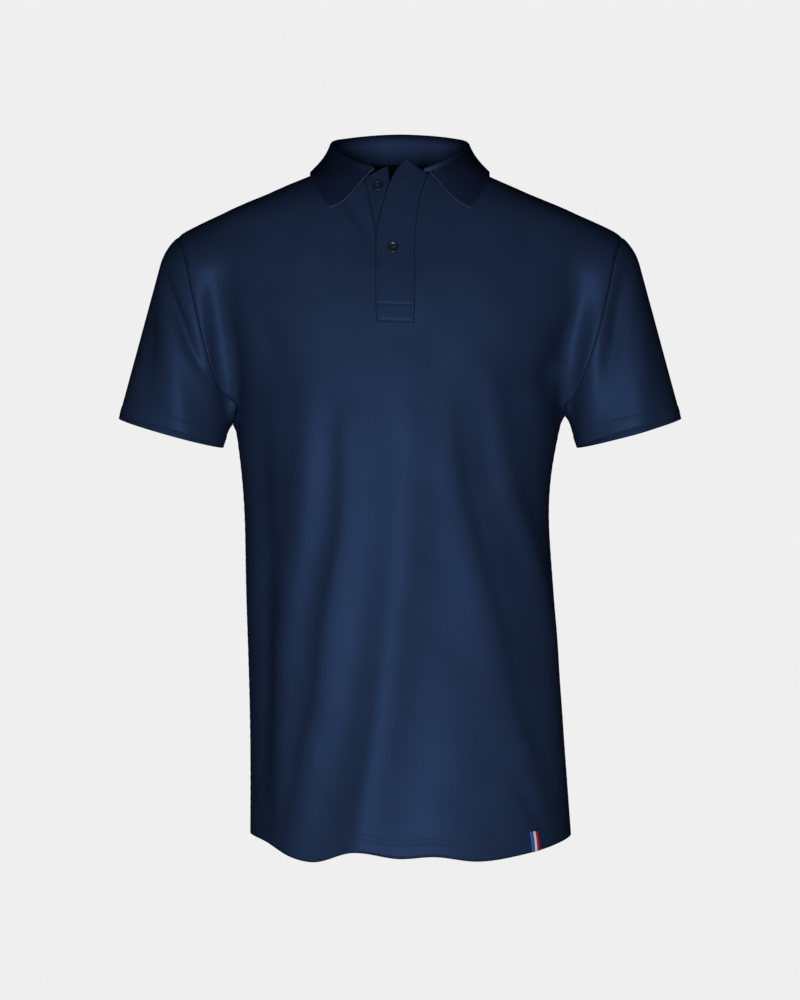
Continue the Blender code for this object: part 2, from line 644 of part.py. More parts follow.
def sheet(name, grid, thickness, collection):
    """An open grid of points, given its wall by Solidify."""
    quads = grid_quads(*grid.shape[:2]).reshape(-1, 4)
    mesh = bpy.data.meshes.new(name)
    mesh.from_pydata(grid.reshape(-1, 3).tolist(), [], quads.tolist())
    mesh.shade_smooth()
    thing = finished(name, mesh, collection)
    wall = thing.modifiers.new("wall", "SOLIDIFY")
    wall.thickness = thickness
    wall.offset = 0.0
    return thing


def button(name, rows, place, collection):
    """A button, turned with Screw, lying on a placket strip at this x and drop."""
    grid, outward = strip_grid(rows, 100, 41)
    far = np.hypot(grid[..., 0] - place[0], grid[..., 2] + place[1])
    near = np.unravel_index(np.argmin(far), far.shape)
    normal = grid_normals(grid)[near]
    normal = normal * -np.sign(normal[1])
    r, h = BUTTON_ACROSS / 2, BUTTON_THICK
    profile = [(0.0, 0.8 * h), (0.60 * r, 0.8 * h), (0.74 * r, 0.86 * h), (0.88 * r, h), (0.96 * r, 0.9 * h),
               (r, 0.55 * h), (0.9 * r, 0.25 * h), (0.55 * r, 0.0), (0.0, 0.0)]
    mesh = bpy.data.meshes.new(name)
    mesh.from_pydata([(x, 0.0, z) for x, z in profile], [(k, k + 1) for k in range(len(profile) - 1)], [])
    mesh.shade_smooth()
    thing = finished(name, mesh, collection)
    spin = thing.modifiers.new("turn", "SCREW")
    spin.steps = spin.render_steps = BUTTON_SIDES
    spin.use_merge_vertices = True
    spin.merge_threshold = 0.00001
    spin.use_normal_calculate = True
    thing.rotation_mode = "QUATERNION"
    thing.rotation_quaternion = Vector(normal).to_track_quat("Z", "Y")
    thing.location = grid[near] + normal * (PLACKET_CLOTH / 2 + BUTTON_SEAT)
    return thing


def tab_grid():
    """The tab on the outside of the front hem, leaning, its end level with the hem's edge."""
    low = float(hem_drop(-1, TAB_X))
    u, v = np.meshgrid(np.linspace(-0.5, 0.5, 4), np.linspace(0, 1, 6), indexing="ij")
    x = TAB_X + u * TAB_WIDTH - TAB_LEAN * v
    base = front_or_back(x, low - 0.0008 - v * TAB_LENGTH, -1)
    outward = form_normal(base)
    lift = JERSEY / 2 + TAB_CLOTH / 2 + TAB_SEAT
    return base + (fold_height(BODY_FOLDS, base) + lift)[..., None] * outward


def main():
    for thing in list(bpy.data.objects):
        bpy.data.objects.remove(thing)
    shirt = bpy.data.collections.new("polo_shirt")
    bpy.context.scene.collection.children.link(shirt)

    grid, outward = on_body(body_grid(-1))
    keep = np.ones((grid.shape[0] - 1, grid.shape[1] - 1), bool)
    first = SHOULDER_STEPS + NECK_STEPS
    keep[first:first + SLOT_STEPS, ROWS - SLOT_ROWS:] = False
    walled("front_panel", inset(grid, outward), outward, JERSEY, shirt, keep=keep)
    grid, outward = on_body(body_grid(1))
    walled("back_panel", inset(grid, outward), outward, JERSEY, shirt)
    for name, arm in (("sleeve_left", 1), ("sleeve_right", -1)):
        grid, outward = on_body(sleeve_grid(arm))
        walled(name, inset(grid, outward, cyclic=True), outward, JERSEY, shirt, cyclic=True)

    sheet("collar", collar_grid(), COLLAR_CLOTH, shirt)
    sheet("placket_under", strip_grid(UNDER_STRIP, STRIP_DOWN, STRIP_ACROSS)[0], PLACKET_CLOTH, shirt)
    sheet("placket_top", strip_grid(TOP_STRIP, STRIP_DOWN, STRIP_ACROSS)[0], PLACKET_CLOTH, shirt)
    sheet("hem_tab", tab_grid(), TAB_CLOTH, shirt)
    button("button_upper", UNDER_STRIP, UPPER_BUTTON, shirt)
    button("button_lower", TOP_STRIP, LOWER_BUTTON, shirt)


main()
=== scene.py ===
"""Men's navy piqué polo shirt, size M to L, standing open in its worn form with nobody in it.

The sections follow the shirt as it is put together: front panel, back panel, sleeves, collar,
placket, buttons and hem tab, and then the studio that it is looked at in. Metres, +Z up, the
front faces -Y, and the origin is midway between the neck ends of the shoulder seams.
"""

import math

import bpy
import numpy as np
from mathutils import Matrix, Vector


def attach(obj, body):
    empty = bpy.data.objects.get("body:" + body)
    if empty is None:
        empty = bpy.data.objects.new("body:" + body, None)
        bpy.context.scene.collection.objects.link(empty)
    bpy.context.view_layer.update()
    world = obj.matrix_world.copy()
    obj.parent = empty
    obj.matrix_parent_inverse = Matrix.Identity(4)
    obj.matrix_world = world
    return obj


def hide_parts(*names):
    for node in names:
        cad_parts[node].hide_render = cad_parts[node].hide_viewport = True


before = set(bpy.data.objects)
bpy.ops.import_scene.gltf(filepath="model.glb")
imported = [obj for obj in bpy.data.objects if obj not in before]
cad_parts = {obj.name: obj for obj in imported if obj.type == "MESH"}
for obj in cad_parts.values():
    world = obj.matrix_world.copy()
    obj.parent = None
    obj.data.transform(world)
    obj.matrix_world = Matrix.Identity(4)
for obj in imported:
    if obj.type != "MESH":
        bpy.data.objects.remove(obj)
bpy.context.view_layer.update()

# ================================================================ front panel
# The front of a men's polo is one piece of navy cotton piqué, cut with a slot for the placket and
# sewn to the back at shoulders and sides. It keeps the round shape that a chest gives it, and its
# folds fall from the armholes and the chest to a twin-needle hem.

# Torso sections: drop below the shoulder point, half width, front depth, back depth, sideways lean
TORSO = np.array([
    (-0.045, 0.058, 0.052, 0.056, 0.000),
    (0.000, 0.068, 0.063, 0.062, 0.000),
    (0.030, 0.130, 0.079, 0.082, -0.002),
    (0.060, 0.197, 0.092, 0.096, -0.001),
    (0.090, 0.215, 0.103, 0.105, 0.000),
    (0.140, 0.207, 0.117, 0.112, 0.000),
    (0.200, 0.191, 0.1250, 0.114, 0.000),
    (0.270, 0.174, 0.1255, 0.109, -0.002),
    (0.340, 0.163, 0.1220, 0.103, -0.004),
    (0.460, 0.163, 0.1180, 0.102, 0.000),
    (0.600, 0.166, 0.119, 0.106, 0.007),
    (0.760, 0.172, 0.123, 0.112, 0.013),
])
SECTION_POWER = 2.25
SECTION_STEP = 0.008     # below the chest the table is eased over three of these steps each way

# Sleeve tube of the left arm, mirrored for the right: centre line, half width and half depth
ARM_TOP = np.array([0.199, 0.004, -0.123])
CUFF_CENTRE = np.array([0.2435, -0.006, -0.287])
ARM_WIDTH = (0.058, 0.0570)
ARM_DEPTH = (0.070, 0.0540)
ARMPIT_BLEND = 0.014

# Armhole seam as it shows from the front: place along it, distance from the centre, and drop
ARMHOLE = np.array([
    (0.00, 0.2365, 0.0765),
    (0.15, 0.2265, 0.1020),
    (0.32, 0.2195, 0.1340),
    (0.57, 0.2080, 0.1810),
    (0.80, 0.1930, 0.2270),
    (1.00, 0.1765, 0.2600),
])

# Height of the neckline seam at the front, at the shoulder points and at the back
NECK_FRONT, NECK_SIDE, NECK_BACK = -0.020, -0.002, 0.004

# Slot for the placket: drop, and x of its two edges
SLOT = np.array([
    (0.012, -0.0390, 0.0275),
    (0.033, -0.0345, 0.0205),
    (0.054, -0.0300, 0.0155),
    (0.081, -0.0258, 0.0120),
    (0.115, -0.0225, 0.0108),
    (0.165, -0.0205, 0.0105),
    (0.300, -0.0260, 0.0220),
    (0.740, -0.0300, 0.0380),
])
SLOT_BOTTOM = 0.162

# Hem: x and drop, on the front and on the back
FRONT_HEM = np.array([
    (-0.175, 0.708), (-0.140, 0.716), (-0.090, 0.731), (-0.048, 0.7195), (0.000, 0.7255),
    (0.034, 0.7235), (0.080, 0.729), (0.130, 0.7235), (0.190, 0.711),
])
BACK_HEM = np.array([
    (-0.175, 0.708), (-0.110, 0.722), (-0.040, 0.727), (0.030, 0.724), (0.110, 0.722), (0.190, 0.708),
])

# Folds that run down: side (-1 front, 1 back), then rows of drop, x, width to the left and to the
# right of the crest, and height. They fade to nothing at their first and last rows.
DOWN_FOLDS = [
    # the long crest down the middle, drifting to the wearer's right at the hem
    (-1, [(0.190, 0.004, 0.030, 0.026, 0.0), (0.276, 0.004, 0.030, 0.028, 0.0046),
          (0.360, 0.003, 0.029, 0.028, 0.0058), (0.440, -0.003, 0.027, 0.026, 0.0064),
          (0.522, -0.012, 0.024, 0.026, 0.0066), (0.605, -0.024, 0.020, 0.028, 0.0064),
          (0.687, -0.038, 0.019, 0.030, 0.0058), (0.760, -0.048, 0.020, 0.032, 0.0044)]),
    # two crests on its right, the outer one running out at the thigh
    (-1, [(0.215, -0.096, 0.018, 0.018, 0.0), (0.300, -0.097, 0.018, 0.017, 0.0052),
          (0.400, -0.104, 0.017, 0.016, 0.0062), (0.440, -0.111, 0.017, 0.015, 0.0060),
          (0.500, -0.118, 0.016, 0.014, 0.0056), (0.565, -0.122, 0.015, 0.013, 0.0044),
          (0.690, -0.124, 0.016, 0.013, 0.0020), (0.760, -0.126, 0.016, 0.013, 0.0)]),
    (-1, [(0.235, -0.152, 0.012, 0.014, 0.0), (0.300, -0.147, 0.012, 0.014, -0.0045),
          (0.420, -0.142, 0.012, 0.014, -0.0060), (0.600, -0.144, 0.012, 0.015, -0.0060),
          (0.760, -0.147, 0.012, 0.015, -0.0035)]),
    (-1, [(0.255, -0.056, 0.010, 0.016, 0.0), (0.300, -0.056, 0.010, 0.024, 0.0022),
          (0.360, -0.056, 0.010, 0.026, 0.0036), (0.400, -0.060, 0.010, 0.027, 0.0042),
          (0.440, -0.068, 0.010, 0.027, 0.0046), (0.522, -0.078, 0.010, 0.026, 0.0050),
          (0.564, -0.082, 0.010, 0.024, 0.0052), (0.605, -0.092, 0.011, 0.022, 0.0052),
          (0.646, -0.098, 0.011, 0.020, 0.0052), (0.690, -0.105, 0.012, 0.019, 0.0050),
          (0.760, -0.116, 0.013, 0.018, 0.0030)]),
    # the broad crest and the sharper one from under the left chest to the left hem
    (-1, [(0.240, 0.048, 0.026, 0.012, 0.0), (0.296, 0.051, 0.026, 0.011, 0.0030),
          (0.358, 0.060, 0.026, 0.011, 0.0040), (0.400, 0.071, 0.026, 0.011, 0.0044),
          (0.440, 0.081, 0.026, 0.011, 0.0046), (0.481, 0.093, 0.026, 0.011, 0.0044),
          (0.522, 0.102, 0.026, 0.011, 0.0042), (0.564, 0.110, 0.027, 0.011, 0.0044),
          (0.605, 0.123, 0.028, 0.011, 0.0046), (0.646, 0.136, 0.028, 0.011, 0.0040),
          (0.690, 0.146, 0.028, 0.012, 0.0026), (0.735, 0.152, 0.028, 0.013, 0.0)]),
    (-1, [(0.215, 0.092, 0.014, 0.016, 0.0), (0.276, 0.101, 0.014, 0.015, 0.0040),
          (0.317, 0.107, 0.014, 0.014, 0.0050), (0.358, 0.115, 0.014, 0.014, 0.0052),
          (0.400, 0.131, 0.013, 0.013, 0.0054), (0.440, 0.143, 0.014, 0.012, 0.0050),
          (0.481, 0.153, 0.014, 0.012, 0.0036),
          (0.522, 0.158, 0.014, 0.012, 0.0032), (0.600, 0.162, 0.014, 0.012, 0.0030),
          (0.690, 0.166, 0.014, 0.012, 0.0)]),
    (-1, [(0.640, 0.112, 0.006, 0.009, 0.0), (0.668, 0.129, 0.006, 0.009, -0.0026),
          (0.690, 0.141, 0.006, 0.009, -0.0022), (0.722, 0.153, 0.007, 0.010, 0.0)]),
    # drags below the right shoulder and from the collar
    (-1, [(0.115, -0.198, 0.010, 0.014, 0.0), (0.150, -0.193, 0.011, 0.016, -0.0055),
          (0.183, -0.188, 0.012, 0.018, -0.0085), (0.225, -0.182, 0.013, 0.020, -0.0085),
          (0.261, -0.174, 0.014, 0.020, -0.0050), (0.305, -0.160, 0.014, 0.020, 0.0)]),
    (-1, [(0.125, 0.192, 0.014, 0.010, 0.0), (0.165, 0.184, 0.018, 0.011, -0.0040),
          (0.192, 0.176, 0.020, 0.012, -0.0078), (0.220, 0.170, 0.020, 0.012, -0.0085),
          (0.252, 0.170, 0.018, 0.013, -0.0060), (0.295, 0.168, 0.018, 0.014, 0.0)]),
    (-1, [(0.150, -0.146, 0.010, 0.014, 0.0), (0.190, -0.138, 0.010, 0.014, -0.0030),
          (0.235, -0.124, 0.012, 0.016, 0.0)]),
    (-1, [(0.030, -0.062, 0.006, 0.008, 0.0), (0.052, -0.052, 0.006, 0.008, -0.0022),
          (0.088, -0.031, 0.007, 0.009, -0.0022), (0.120, -0.022, 0.008, 0.010, 0.0)]),
    # the back
    (1, [(0.180, -0.020, 0.030, 0.030, 0.0), (0.360, -0.034, 0.024, 0.028, 0.0060),
         (0.560, -0.050, 0.022, 0.030, 0.0080), (0.790, -0.064, 0.024, 0.030, 0.0060)]),
    (1, [(0.220, 0.046, 0.018, 0.020, 0.0), (0.400, 0.060, 0.016, 0.020, -0.0070),
         (0.600, 0.078, 0.018, 0.020, -0.0090), (0.790, 0.090, 0.020, 0.022, -0.0050)]),
    (1, [(0.190, 0.098, 0.022, 0.022, 0.0), (0.360, 0.108, 0.018, 0.020, 0.0060),
         (0.560, 0.126, 0.018, 0.018, 0.0060), (0.720, 0.136, 0.020, 0.018, 0.0)]),
    (1, [(0.210, -0.086, 0.016, 0.018, 0.0), (0.380, -0.096, 0.015, 0.018, -0.0070),
         (0.560, -0.112, 0.016, 0.018, -0.0085), (0.780, -0.128, 0.018, 0.020, -0.0040)]),
    (1, [(0.420, 0.008, 0.016, 0.016, 0.0), (0.580, 0.014, 0.016, 0.018, -0.0045),
         (0.780, 0.020, 0.020, 0.022, -0.0050)]),
    # right sleeve, front and back
    (-1, [(0.112, -0.249, 0.007, 0.007, 0.0), (0.134, -0.2435, 0.007, 0.007, -0.0040),
          (0.156, -0.2355, 0.007, 0.007, -0.0062), (0.177, -0.227, 0.007, 0.007, -0.0060),
          (0.199, -0.2185, 0.007, 0.007, -0.0050), (0.218, -0.209, 0.007, 0.007, -0.0026),
          (0.240, -0.198, 0.008, 0.008, 0.0)]),
    (-1, [(0.120, -0.252, 0.012, 0.012, 0.0), (0.190, -0.242, 0.014, 0.014, 0.0035),
          (0.260, -0.232, 0.016, 0.016, 0.0040), (0.320, -0.224, 0.016, 0.016, 0.0030)]),
    (-1, [(0.130, -0.260, 0.008, 0.010, 0.0), (0.190, -0.262, 0.009, 0.010, -0.0030),
          (0.280, -0.268, 0.010, 0.012, 0.0)]),
    (1, [(0.110, -0.236, 0.008, 0.010, 0.0), (0.180, -0.220, 0.010, 0.012, -0.0055),
         (0.270, -0.202, 0.012, 0.014, 0.0)]),
    # left sleeve, front and back
    (-1, [(0.100, 0.242, 0.008, 0.006, 0.0), (0.140, 0.232, 0.009, 0.008, -0.0045),
          (0.185, 0.224, 0.010, 0.009, -0.0055), (0.240, 0.212, 0.011, 0.010, 0.0)]),
    (-1, [(0.150, 0.214, 0.012, 0.012, 0.0), (0.190, 0.207, 0.012, 0.012, 0.0040),
          (0.260, 0.200, 0.013, 0.012, 0.0045), (0.310, 0.196, 0.013, 0.012, 0.0030)]),
    (-1, [(0.120, 0.250, 0.010, 0.010, 0.0), (0.180, 0.250, 0.012, 0.012, 0.0035),
          (0.260, 0.252, 0.014, 0.014, 0.0030), (0.320, 0.254, 0.014, 0.014, 0.0020)]),
    (1, [(0.110, 0.240, 0.010, 0.008, 0.0), (0.180, 0.224, 0.012, 0.010, -0.0060),
         (0.270, 0.206, 0.014, 0.012, 0.0)]),
    (1, [(0.140, 0.262, 0.014, 0.014, 0.0), (0.220, 0.260, 0.016, 0.016, 0.0040),
         (0.310, 0.258, 0.016, 0.016, 0.0020)]),
]

# Folds that run across: side, then rows of x, drop, width above and below the crest, and height
ACROSS_FOLDS = [
    (-1, [(0.175, 0.225, 0.012, 0.016, 0.0), (0.160, 0.228, 0.014, 0.018, -0.0050),
          (0.130, 0.233, 0.014, 0.018, -0.0040), (0.095, 0.240, 0.016, 0.020, 0.0)]),
    (-1, [(-0.034, 0.566, 0.005, 0.006, 0.0), (-0.018, 0.563, 0.004, 0.005, -0.0007),
          (0.004, 0.562, 0.004, 0.005, -0.0008), (0.024, 0.566, 0.005, 0.006, 0.0)]),
    (1, [(-0.170, 0.215, 0.014, 0.016, 0.0), (-0.145, 0.226, 0.014, 0.018, -0.0050),
         (-0.100, 0.240, 0.016, 0.020, 0.0)]),
    (1, [(0.170, 0.212, 0.014, 0.016, 0.0), (0.140, 0.226, 0.014, 0.018, -0.0045),
         (0.090, 0.238, 0.016, 0.020, 0.0)]),
]
DOWN_FOLDS = [(side, np.array(rows)) for side, rows in DOWN_FOLDS]
ACROSS_FOLDS = [(side, np.array(rows)) for side, rows in ACROSS_FOLDS]
SEAM_FADE = 0.030        # folds fade out this far in front of and behind the side seams

JERSEY = 0.0012          # one layer of the piqué
HEM_BAND = 0.019         # the hem is turned up this far and sewn with twin needles
TWIN_NEEDLE = 0.0052     # from one line of stitches to the other
SEAM_GAP = 0.0003        # clear space between two pieces that are sewn together
SEAM_DIP = 0.0006        # a sewn seam pulls the cloth in this much
SEAM_REACH = 0.0022      # and the pull dies away over this distance
HALVINGS = 34            # of the interval in which a ray leaves the form

# How finely a panel is divided
SHOULDER_STEPS, NECK_STEPS, SLOT_STEPS = 34, 22, 14
ARMHOLE_STEPS, SLOT_ROWS, SIDE_STEPS = 64, 38, 112

KNOTS = {}               # tables that have been read once, with the slopes at their rows


def unit(v):
    """Each vector over its own length."""
    return v / np.maximum(np.linalg.norm(v, axis=-1, keepdims=True), 1e-12)


def fade(t):
    """Smooth step: three t squared less two t cubed, from 0 to 1."""
    t = np.clip(t, 0.0, 1.0)
    return t * t * (3.0 - 2.0 * t)


def table(rows, column, at):
    """A cubic Hermite curve through one column of a table, read against its first column."""
    if id(rows) not in KNOTS:
        up = rows[::-1] if rows[0, 0] > rows[-1, 0] else rows
        KNOTS[id(rows)] = (up, np.gradient(up, up[:, 0], axis=0))
    up, slope_rows = KNOTS[id(rows)]
    knots, values, slopes = up[:, 0], up[:, column], slope_rows[:, column]
    at = np.asarray(at, float)
    i = np.clip(np.searchsorted(knots, at) - 1, 0, len(knots) - 2)
    step = knots[i + 1] - knots[i]
    t = np.clip((at - knots[i]) / step, 0.0, 1.0)
    return ((1 + 2 * t) * (1 - t) ** 2 * values[i] + t * (1 - t) ** 2 * step * slopes[i]
            + t * t * (3 - 2 * t) * values[i + 1] + t * t * (t - 1) * step * slopes[i + 1])


def eased(rows):
    """The table read at even steps, each row eased towards the mean of seven, so that no bend shows."""
    drop = np.arange(rows[0, 0], rows[-1, 0], SECTION_STEP)
    read = np.stack([drop] + [table(rows, k, drop) for k in range(1, rows.shape[1])], -1)
    padded = np.pad(read, ((3, 3), (0, 0)), mode="edge")
    mean = sum(padded[k:k + len(read)] for k in range(7)) / 7
    share = fade((drop - 0.14) / 0.06) * fade((rows[-1, 0] - 0.03 - drop) / 0.02)
    read[:, 1:] += (mean - read)[:, 1:] * share[:, None]
    return read


TORSO = eased(TORSO)


def torso_level(p):
    """A squarish ellipse at each height: (|x|/width)^n + (|y|/depth)^n, to the power 1/n, less 1."""
    drop = -p[..., 2]
    across = (p[..., 0] - table(TORSO, 4, drop)) / table(TORSO, 1, drop)
    depth = np.where(p[..., 1] < 0, table(TORSO, 2, drop), table(TORSO, 3, drop))
    return ((np.abs(across) ** SECTION_POWER + np.abs(p[..., 1] / depth) ** SECTION_POWER)
            ** (1 / SECTION_POWER) - 1)


def sleeve_level(p):
    """An ellipse round the arm's centre line, closed by a dome over the shoulder, less 1."""
    q = np.stack([np.abs(p[..., 0]), p[..., 1], p[..., 2]], -1) - ARM_TOP
    line = CUFF_CENTRE - ARM_TOP
    down = q @ unit(line)
    share = np.clip(down / np.linalg.norm(line), 0.0, 1.5)
    sideways = unit(np.cross(line, (0.0, 1.0, 0.0)))
    width = ARM_WIDTH[0] + (ARM_WIDTH[1] - ARM_WIDTH[0]) * share
    depth = ARM_DEPTH[0] + (ARM_DEPTH[1] - ARM_DEPTH[0]) * share
    facing = np.cross(sideways, unit(line))
    return np.sqrt(((q @ sideways) / width) ** 2 + ((q @ facing) / depth) ** 2
                   + (np.minimum(down, 0.0) / width) ** 2) - 1


def slope(level, p):
    """The gradient of a level function, by central differences."""
    step = 1e-5 * np.eye(3)
    return np.stack([(level(p + step[k]) - level(p - step[k])) / 2e-5 for k in range(3)], -1)


def distance(level, p):
    """The level over its gradient's length: about how far p is outside that surface."""
    return level(p) / np.maximum(np.linalg.norm(slope(level, p), axis=-1), 1e-9)


def form(p):
    """The lesser of the distances to torso and sleeves, less a fillet: a quarter of a squared overlap."""
    a, b = distance(torso_level, p), distance(sleeve_level, p)
    near = np.maximum(ARMPIT_BLEND - np.abs(a - b), 0.0) / ARMPIT_BLEND
    return np.minimum(a, b) - near * near * ARMPIT_BLEND / 4


def form_normal(p):
    """The form's gradient, made one long."""
    return unit(slope(form, p))


def onto_form(p, rounds=5):
    """Newton steps: each takes the distance to the form off along the form's slope."""
    for _ in range(rounds):
        p = p - form(p)[..., None] * form_normal(p)
    return p


def way_out(point_at, reach, shape):
    """How far along its ray each point leaves the form, found by halving the interval that holds it."""
    near, far = np.zeros(shape), np.full(shape, reach)
    for _ in range(HALVINGS):
        middle = (near + far) / 2
        outside = form(point_at(middle)) > 0
        near, far = np.where(outside, near, middle), np.where(outside, middle, far)
    return near


def front_or_back(x, drop, side):
    """The point of the form at that x and drop, straight out to the front (-1) or the back (1)."""
    x, drop = np.broadcast_arrays(np.asarray(x, float), np.asarray(drop, float))
    out = way_out(lambda y: np.stack([x, side * y, -drop], -1), 0.22, x.shape)
    return np.stack([x, side * out, -drop], -1)


def fold_height(p):
    """How far the folds move each point out: a bell across each fold, its height read along the fold."""
    total = np.zeros(p.shape[:-1])
    for runs_down, folds in ((True, DOWN_FOLDS), (False, ACROSS_FOLDS)):
        for side, rows in folds:
            along, across = (-p[..., 2], p[..., 0]) if runs_down else (p[..., 0], -p[..., 2])
            ends = np.sort(rows[[0, -1], 0])
            at = np.clip(along, *ends)
            off = across - table(rows, 1, at)
            width = np.where(off < 0, table(rows, 2, at), table(rows, 3, at))
            inside = fade((along - ends[0]) / 0.01 + 1) * fade((ends[1] - along) / 0.01 + 1)
            bell = np.exp(-(off / width) ** 2) * table(rows, 4, at) * inside
            total += bell * fade((side * p[..., 1] - 0.004) / SEAM_FADE)
    return total


def rumple(p):
    """Two products of two slanted sine waves, 80 to 160 mm long, about half a millimetre high."""
    x, y, z = p[..., 0], p[..., 1], p[..., 2]
    waves = (np.sin(48 * x + 11 * z + 1.3 * np.sign(y)) * np.sin(23 * x - 31 * z + 0.7)
             + 0.6 * np.sin(70 * x + 29 * z + 2.1) * np.sin(14 * x + 58 * z))
    return 0.0005 * waves * fade((np.abs(y) - 0.004) / SEAM_FADE)


def resampled(line, places):
    """The points of a line at these shares of its length."""
    along = np.concatenate([[0.0], np.cumsum(np.linalg.norm(np.diff(line, axis=0), axis=1))])
    at = np.asarray(places) * along[-1]
    return np.stack([np.interp(at, along, line[:, k]) for k in range(3)], -1)


def hem_drop(side, x):
    """The hem's drop at that x, read from the table of the front (-1) or the back (1)."""
    return table(FRONT_HEM if side < 0 else BACK_HEM, 1, x)


def seam_end(arm, row):
    """An end of the armhole, where it crosses the middle plane between front and back."""
    p = np.array([[arm * ARMHOLE[row, 1], 0.0, -ARMHOLE[row, 2]]])
    for _ in range(10):
        p = onto_form(p, 1) * (1.0, 0.0, 1.0)
    return p[0]


UNDERARM = {arm: seam_end(arm, -1) for arm in (-1, 1)}
SHOULDER_TIP = {arm: seam_end(arm, 0) for arm in (-1, 1)}


def armhole(side, arm):
    """The armhole seam from the underarm to the shoulder tip, spaced as a cosine, closer at its ends."""
    along = (1 + np.cos(np.linspace(0, math.pi, ARMHOLE_STEPS + 1))) / 2
    line = front_or_back(arm * table(ARMHOLE, 1, along), table(ARMHOLE, 2, along), side)
    line = onto_form(line)
    line[0], line[-1] = UNDERARM[arm], SHOULDER_TIP[arm]
    return line


def side_seam(arm):
    """The side seam from the hem to the underarm, where its points lie closer."""
    low, high = hem_drop(-1, arm * 0.175), -UNDERARM[arm][2]
    drop = low + (high - low) * (1 - (1 - np.linspace(0, 1, SIDE_STEPS + 1)) ** 1.4)
    out = table(TORSO, 1, drop) + arm * table(TORSO, 4, drop)
    line = onto_form(np.stack([arm * out, np.zeros_like(drop), -drop], -1))
    line[-1] = UNDERARM[arm]
    return line


def neck_height(p):
    """The neckline's height, eased between front, shoulder point and back by the turn round the neck."""
    turn = np.arctan2(np.abs(p[..., 0]), -p[..., 1])
    front, back = fade(1 - turn / (math.pi / 2)), fade(turn / (math.pi / 2) - 1)
    return NECK_SIDE + (NECK_FRONT - NECK_SIDE) * front + (NECK_BACK - NECK_SIDE) * back


def neckline(turns):
    """Points of the neckline at these turns round the neck, where 0 is the front and pi the back."""
    turns = np.asarray(turns, float)
    ray = np.stack([np.sin(turns), -np.cos(turns), np.zeros_like(turns)], -1)
    rise = neck_height(ray)[:, None] * np.array([0.0, 0.0, 1.0])
    out = way_out(lambda r: ray * r[:, None] + rise, 0.16, turns.shape)
    return ray * out[:, None] + rise


def slot_turn(edge):
    """The turn round the neck at which the neckline meets an edge of the slot."""
    turns = np.linspace(-0.9, 0.9, 181)
    line = neckline(turns)
    gap = line[:, 0] - table(SLOT, edge, -line[:, 2])
    k = int(np.argmax(gap > 0))
    return float(turns[k - 1] - gap[k - 1] * (turns[k] - turns[k - 1]) / (gap[k] - gap[k - 1]))


WAIST_DROP = 0.275       # drop of the grid row that starts at the underarm, at the panel's middle


def column(x_of_drop, top_point, side, slot=False):
    """A grid column from the hem, past the underarm's row, to the top, evenly spaced in each part."""
    low_drop = float(hem_drop(side, x_of_drop(np.array([0.72]))[0]))
    drop = np.linspace(-top_point[2], low_drop, 400)
    line = front_or_back(x_of_drop(drop), drop, side)
    line[0] = top_point
    split = np.searchsorted(-line[:, 2], WAIST_DROP)
    low = resampled(line[split:][::-1], np.linspace(0, 1, SIDE_STEPS + 1))
    if not slot:
        high = resampled(line[:split + 1][::-1], np.linspace(0, 1, ARMHOLE_STEPS + 1))[1:]
        return np.concatenate([low, high])
    cut = np.searchsorted(-line[:, 2], SLOT_BOTTOM)
    below = resampled(line[cut:split + 1][::-1], np.linspace(0, 1, ARMHOLE_STEPS - SLOT_ROWS + 1))
    beside = resampled(line[:cut + 1][::-1], np.linspace(0, 1, SLOT_ROWS + 1))
    return np.concatenate([low, below[1:], beside[1:]])


def patch(left, right, bottom, top):
    """A Coons patch: the mix of its side lines, plus the mix of its ends, less the mix of its corners."""
    u = np.linspace(0, 1, len(bottom))[:, None, None]
    v = np.linspace(0, 1, len(left))[None, :, None]
    sides = (1 - u) * left[None] + u * right[None]
    ends = (1 - v) * bottom[:, None] + v * top[:, None]
    corners = ((1 - u) * (1 - v) * left[0] + u * (1 - v) * right[0]
               + (1 - u) * v * left[-1] + u * v * right[-1])
    return sides + ends - corners


def between(a, b, steps, side=None):
    """Points of the form from a to b, along the hem if a side is given."""
    line = onto_form(a + (b - a) * np.linspace(0, 1, steps + 1)[:, None])
    if side is not None:
        line[1:-1, 2] = -hem_drop(side, line[1:-1, 0])
        line = onto_form(line)
    return line


